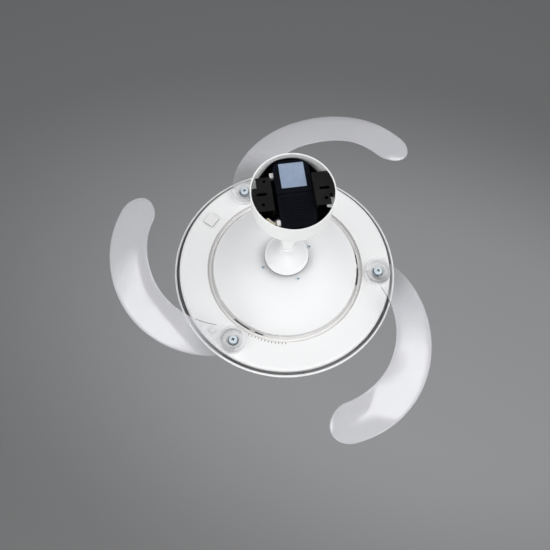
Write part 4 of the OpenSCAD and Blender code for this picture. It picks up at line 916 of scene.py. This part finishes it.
def makeCoverGapShade():
    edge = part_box("coupling_cover")[0].z
    points, faces = lathe([(coverGapShade[r], edge + coverGapShade[h]) for r, h in (
        ("inner", "bottom"), ("outer", "bottom"), ("outer", "top"), ("inner", "top"))])
    makePiece("coverGapShade", points, faces, "blackNylonAndShade", "hanger")


makeLabel()
makeVentFloors()
makeScrewRecesses()
makeRootLines()
makeCoverGapShade()
print("stage: small pieces done")

studio = {
    "floorHeight": -2.3, "floorSize": 160.0, "floorPlain": {"Roughness": 0.9, "Specular IOR Level": 0.1},
    "paleColour": (0.342, 0.343, 0.347), "darkColour": (0.203, 0.204, 0.206),
    "glow": (0.625, 0.5955), "glowSize": (2.60, 1.352), "glowTurn": 9.3, "glowFrom": 1.11, "glowTo": 0.32,
    "worldColour": (0.97, 0.985, 1.0), "worldLight": 0.46, "worldSeen": (0.24, 0.245, 0.243),
    # name: direction from the fan (degrees), distance, width and height, power in watts
    "softBoxes": {
        "rightPanel": ((-18.0, 41.5), 2.6, (1.6, 2.5), 13),
        "rightFade": ((-14.5, 41.5), 2.6, (2.0, 2.5), 13),
        "rightEdge": ((-9.0, 42.5), 2.6, (2.6, 2.6), 12),
        "leftPanel": ((201.0, 42.0), 2.6, (1.4, 2.0), 9),
        "leftFade": ((197.0, 42.0), 2.6, (1.8, 2.0), 9.5),
        "leftEdge": ((193.0, 42.0), 2.6, (2.2, 2.0), 8),
        "frontPanel": ((-104.0, -8.0), 2.8, (4.2, 0.9), 36),
        "lowPanel": ((-104.0, -80.0), 1.7, (2.2, 2.2), 22),
    },
    "lightsAim": (0.0, 0.0, -0.38),
}


# The floor, with a paler oval where the photograph's background is palest
def makeFloor():
    s, z = studio["floorSize"] / 2, studio["floorHeight"]
    mesh = bpy.data.meshes.new("floor")
    mesh.from_pydata([(-s, -s, z), (s, -s, z), (s, s, z), (-s, s, z)], [], [(0, 1, 2, 3)])
    floor = bpy.data.objects.new("floor", mesh)
    bpy.context.scene.collection.objects.link(floor)
    material, tree, shader = newMaterial("floorGrey")
    place = addNode(tree, "ShaderNodeTexCoord", {}).outputs["Object"]
    turn = math.radians(studio["glowTurn"] - view["azimuth"])
    turned = addNode(tree, "ShaderNodeVectorRotate", {"Vector": place, "Angle": turn}, rotation_type="Z_AXIS")
    moved = addVectorMath(tree, "SUBTRACT", turned.outputs["Vector"], (*studio["glow"], 0))["Vector"]
    sx, sy = studio["glowSize"]
    scaled = addVectorMath(tree, "MULTIPLY", moved, (1 / sx, 1 / sy, 0))["Vector"]
    far = addVectorMath(tree, "LENGTH", scaled)["Value"]
    # the paler oval is a pool of light painted on the floor
    fade = rangeShare(tree, far, studio["glowFrom"], studio["glowTo"], interpolation_type="SMOOTHSTEP")
    setInputs(shader, {"Base Color": mixColours(tree, fade, studio["darkColour"], studio["paleColour"]),
                       **studio["floorPlain"]})
    mesh.materials.append(material)


def makeWorld():
    world = bpy.data.worlds.new("studio")
    bpy.context.scene.world = world
    world.use_nodes = True
    tree = world.node_tree
    tree.nodes.clear()
    lit = addNode(tree, "ShaderNodeBackground",
                  {"Color": studio["worldColour"], "Strength": studio["worldLight"]})
    seen = addNode(tree, "ShaderNodeBackground", {"Color": studio["worldSeen"], "Strength": 1.0})
    path = addNode(tree, "ShaderNodeLightPath", {})
    mix = addNode(tree, "ShaderNodeMixShader",
                  {"Fac": path.outputs["Is Camera Ray"], 1: lit.outputs[0], 2: seen.outputs[0]})
    addNode(tree, "ShaderNodeOutputWorld", {"Surface": mix.outputs[0]})


# A soft rectangular lamp that faces the fan
def softBox(name, direction, distance, size, power):
    az, el = (math.radians(a) for a in direction)
    outward = Vector((math.cos(az) * math.cos(el), math.sin(az) * math.cos(el), math.sin(el)))
    lamp = bpy.data.lights.new(name, "AREA")
    lamp.shape = "RECTANGLE"
    lamp.size, lamp.size_y = size
    lamp.energy = power
    item = bpy.data.objects.new(name, lamp)
    item.location = Vector(studio["lightsAim"]) + outward * distance
    item.rotation_euler = outward.to_track_quat("Z", "Y").to_euler()
    item.visible_camera = False
    bpy.context.scene.collection.objects.link(item)


makeFloor()
makeWorld()
for boxName, box in studio["softBoxes"].items():
    softBox(boxName, *box)
bpy.context.scene.view_settings.view_transform = "Standard"

print("stage: scene ready")
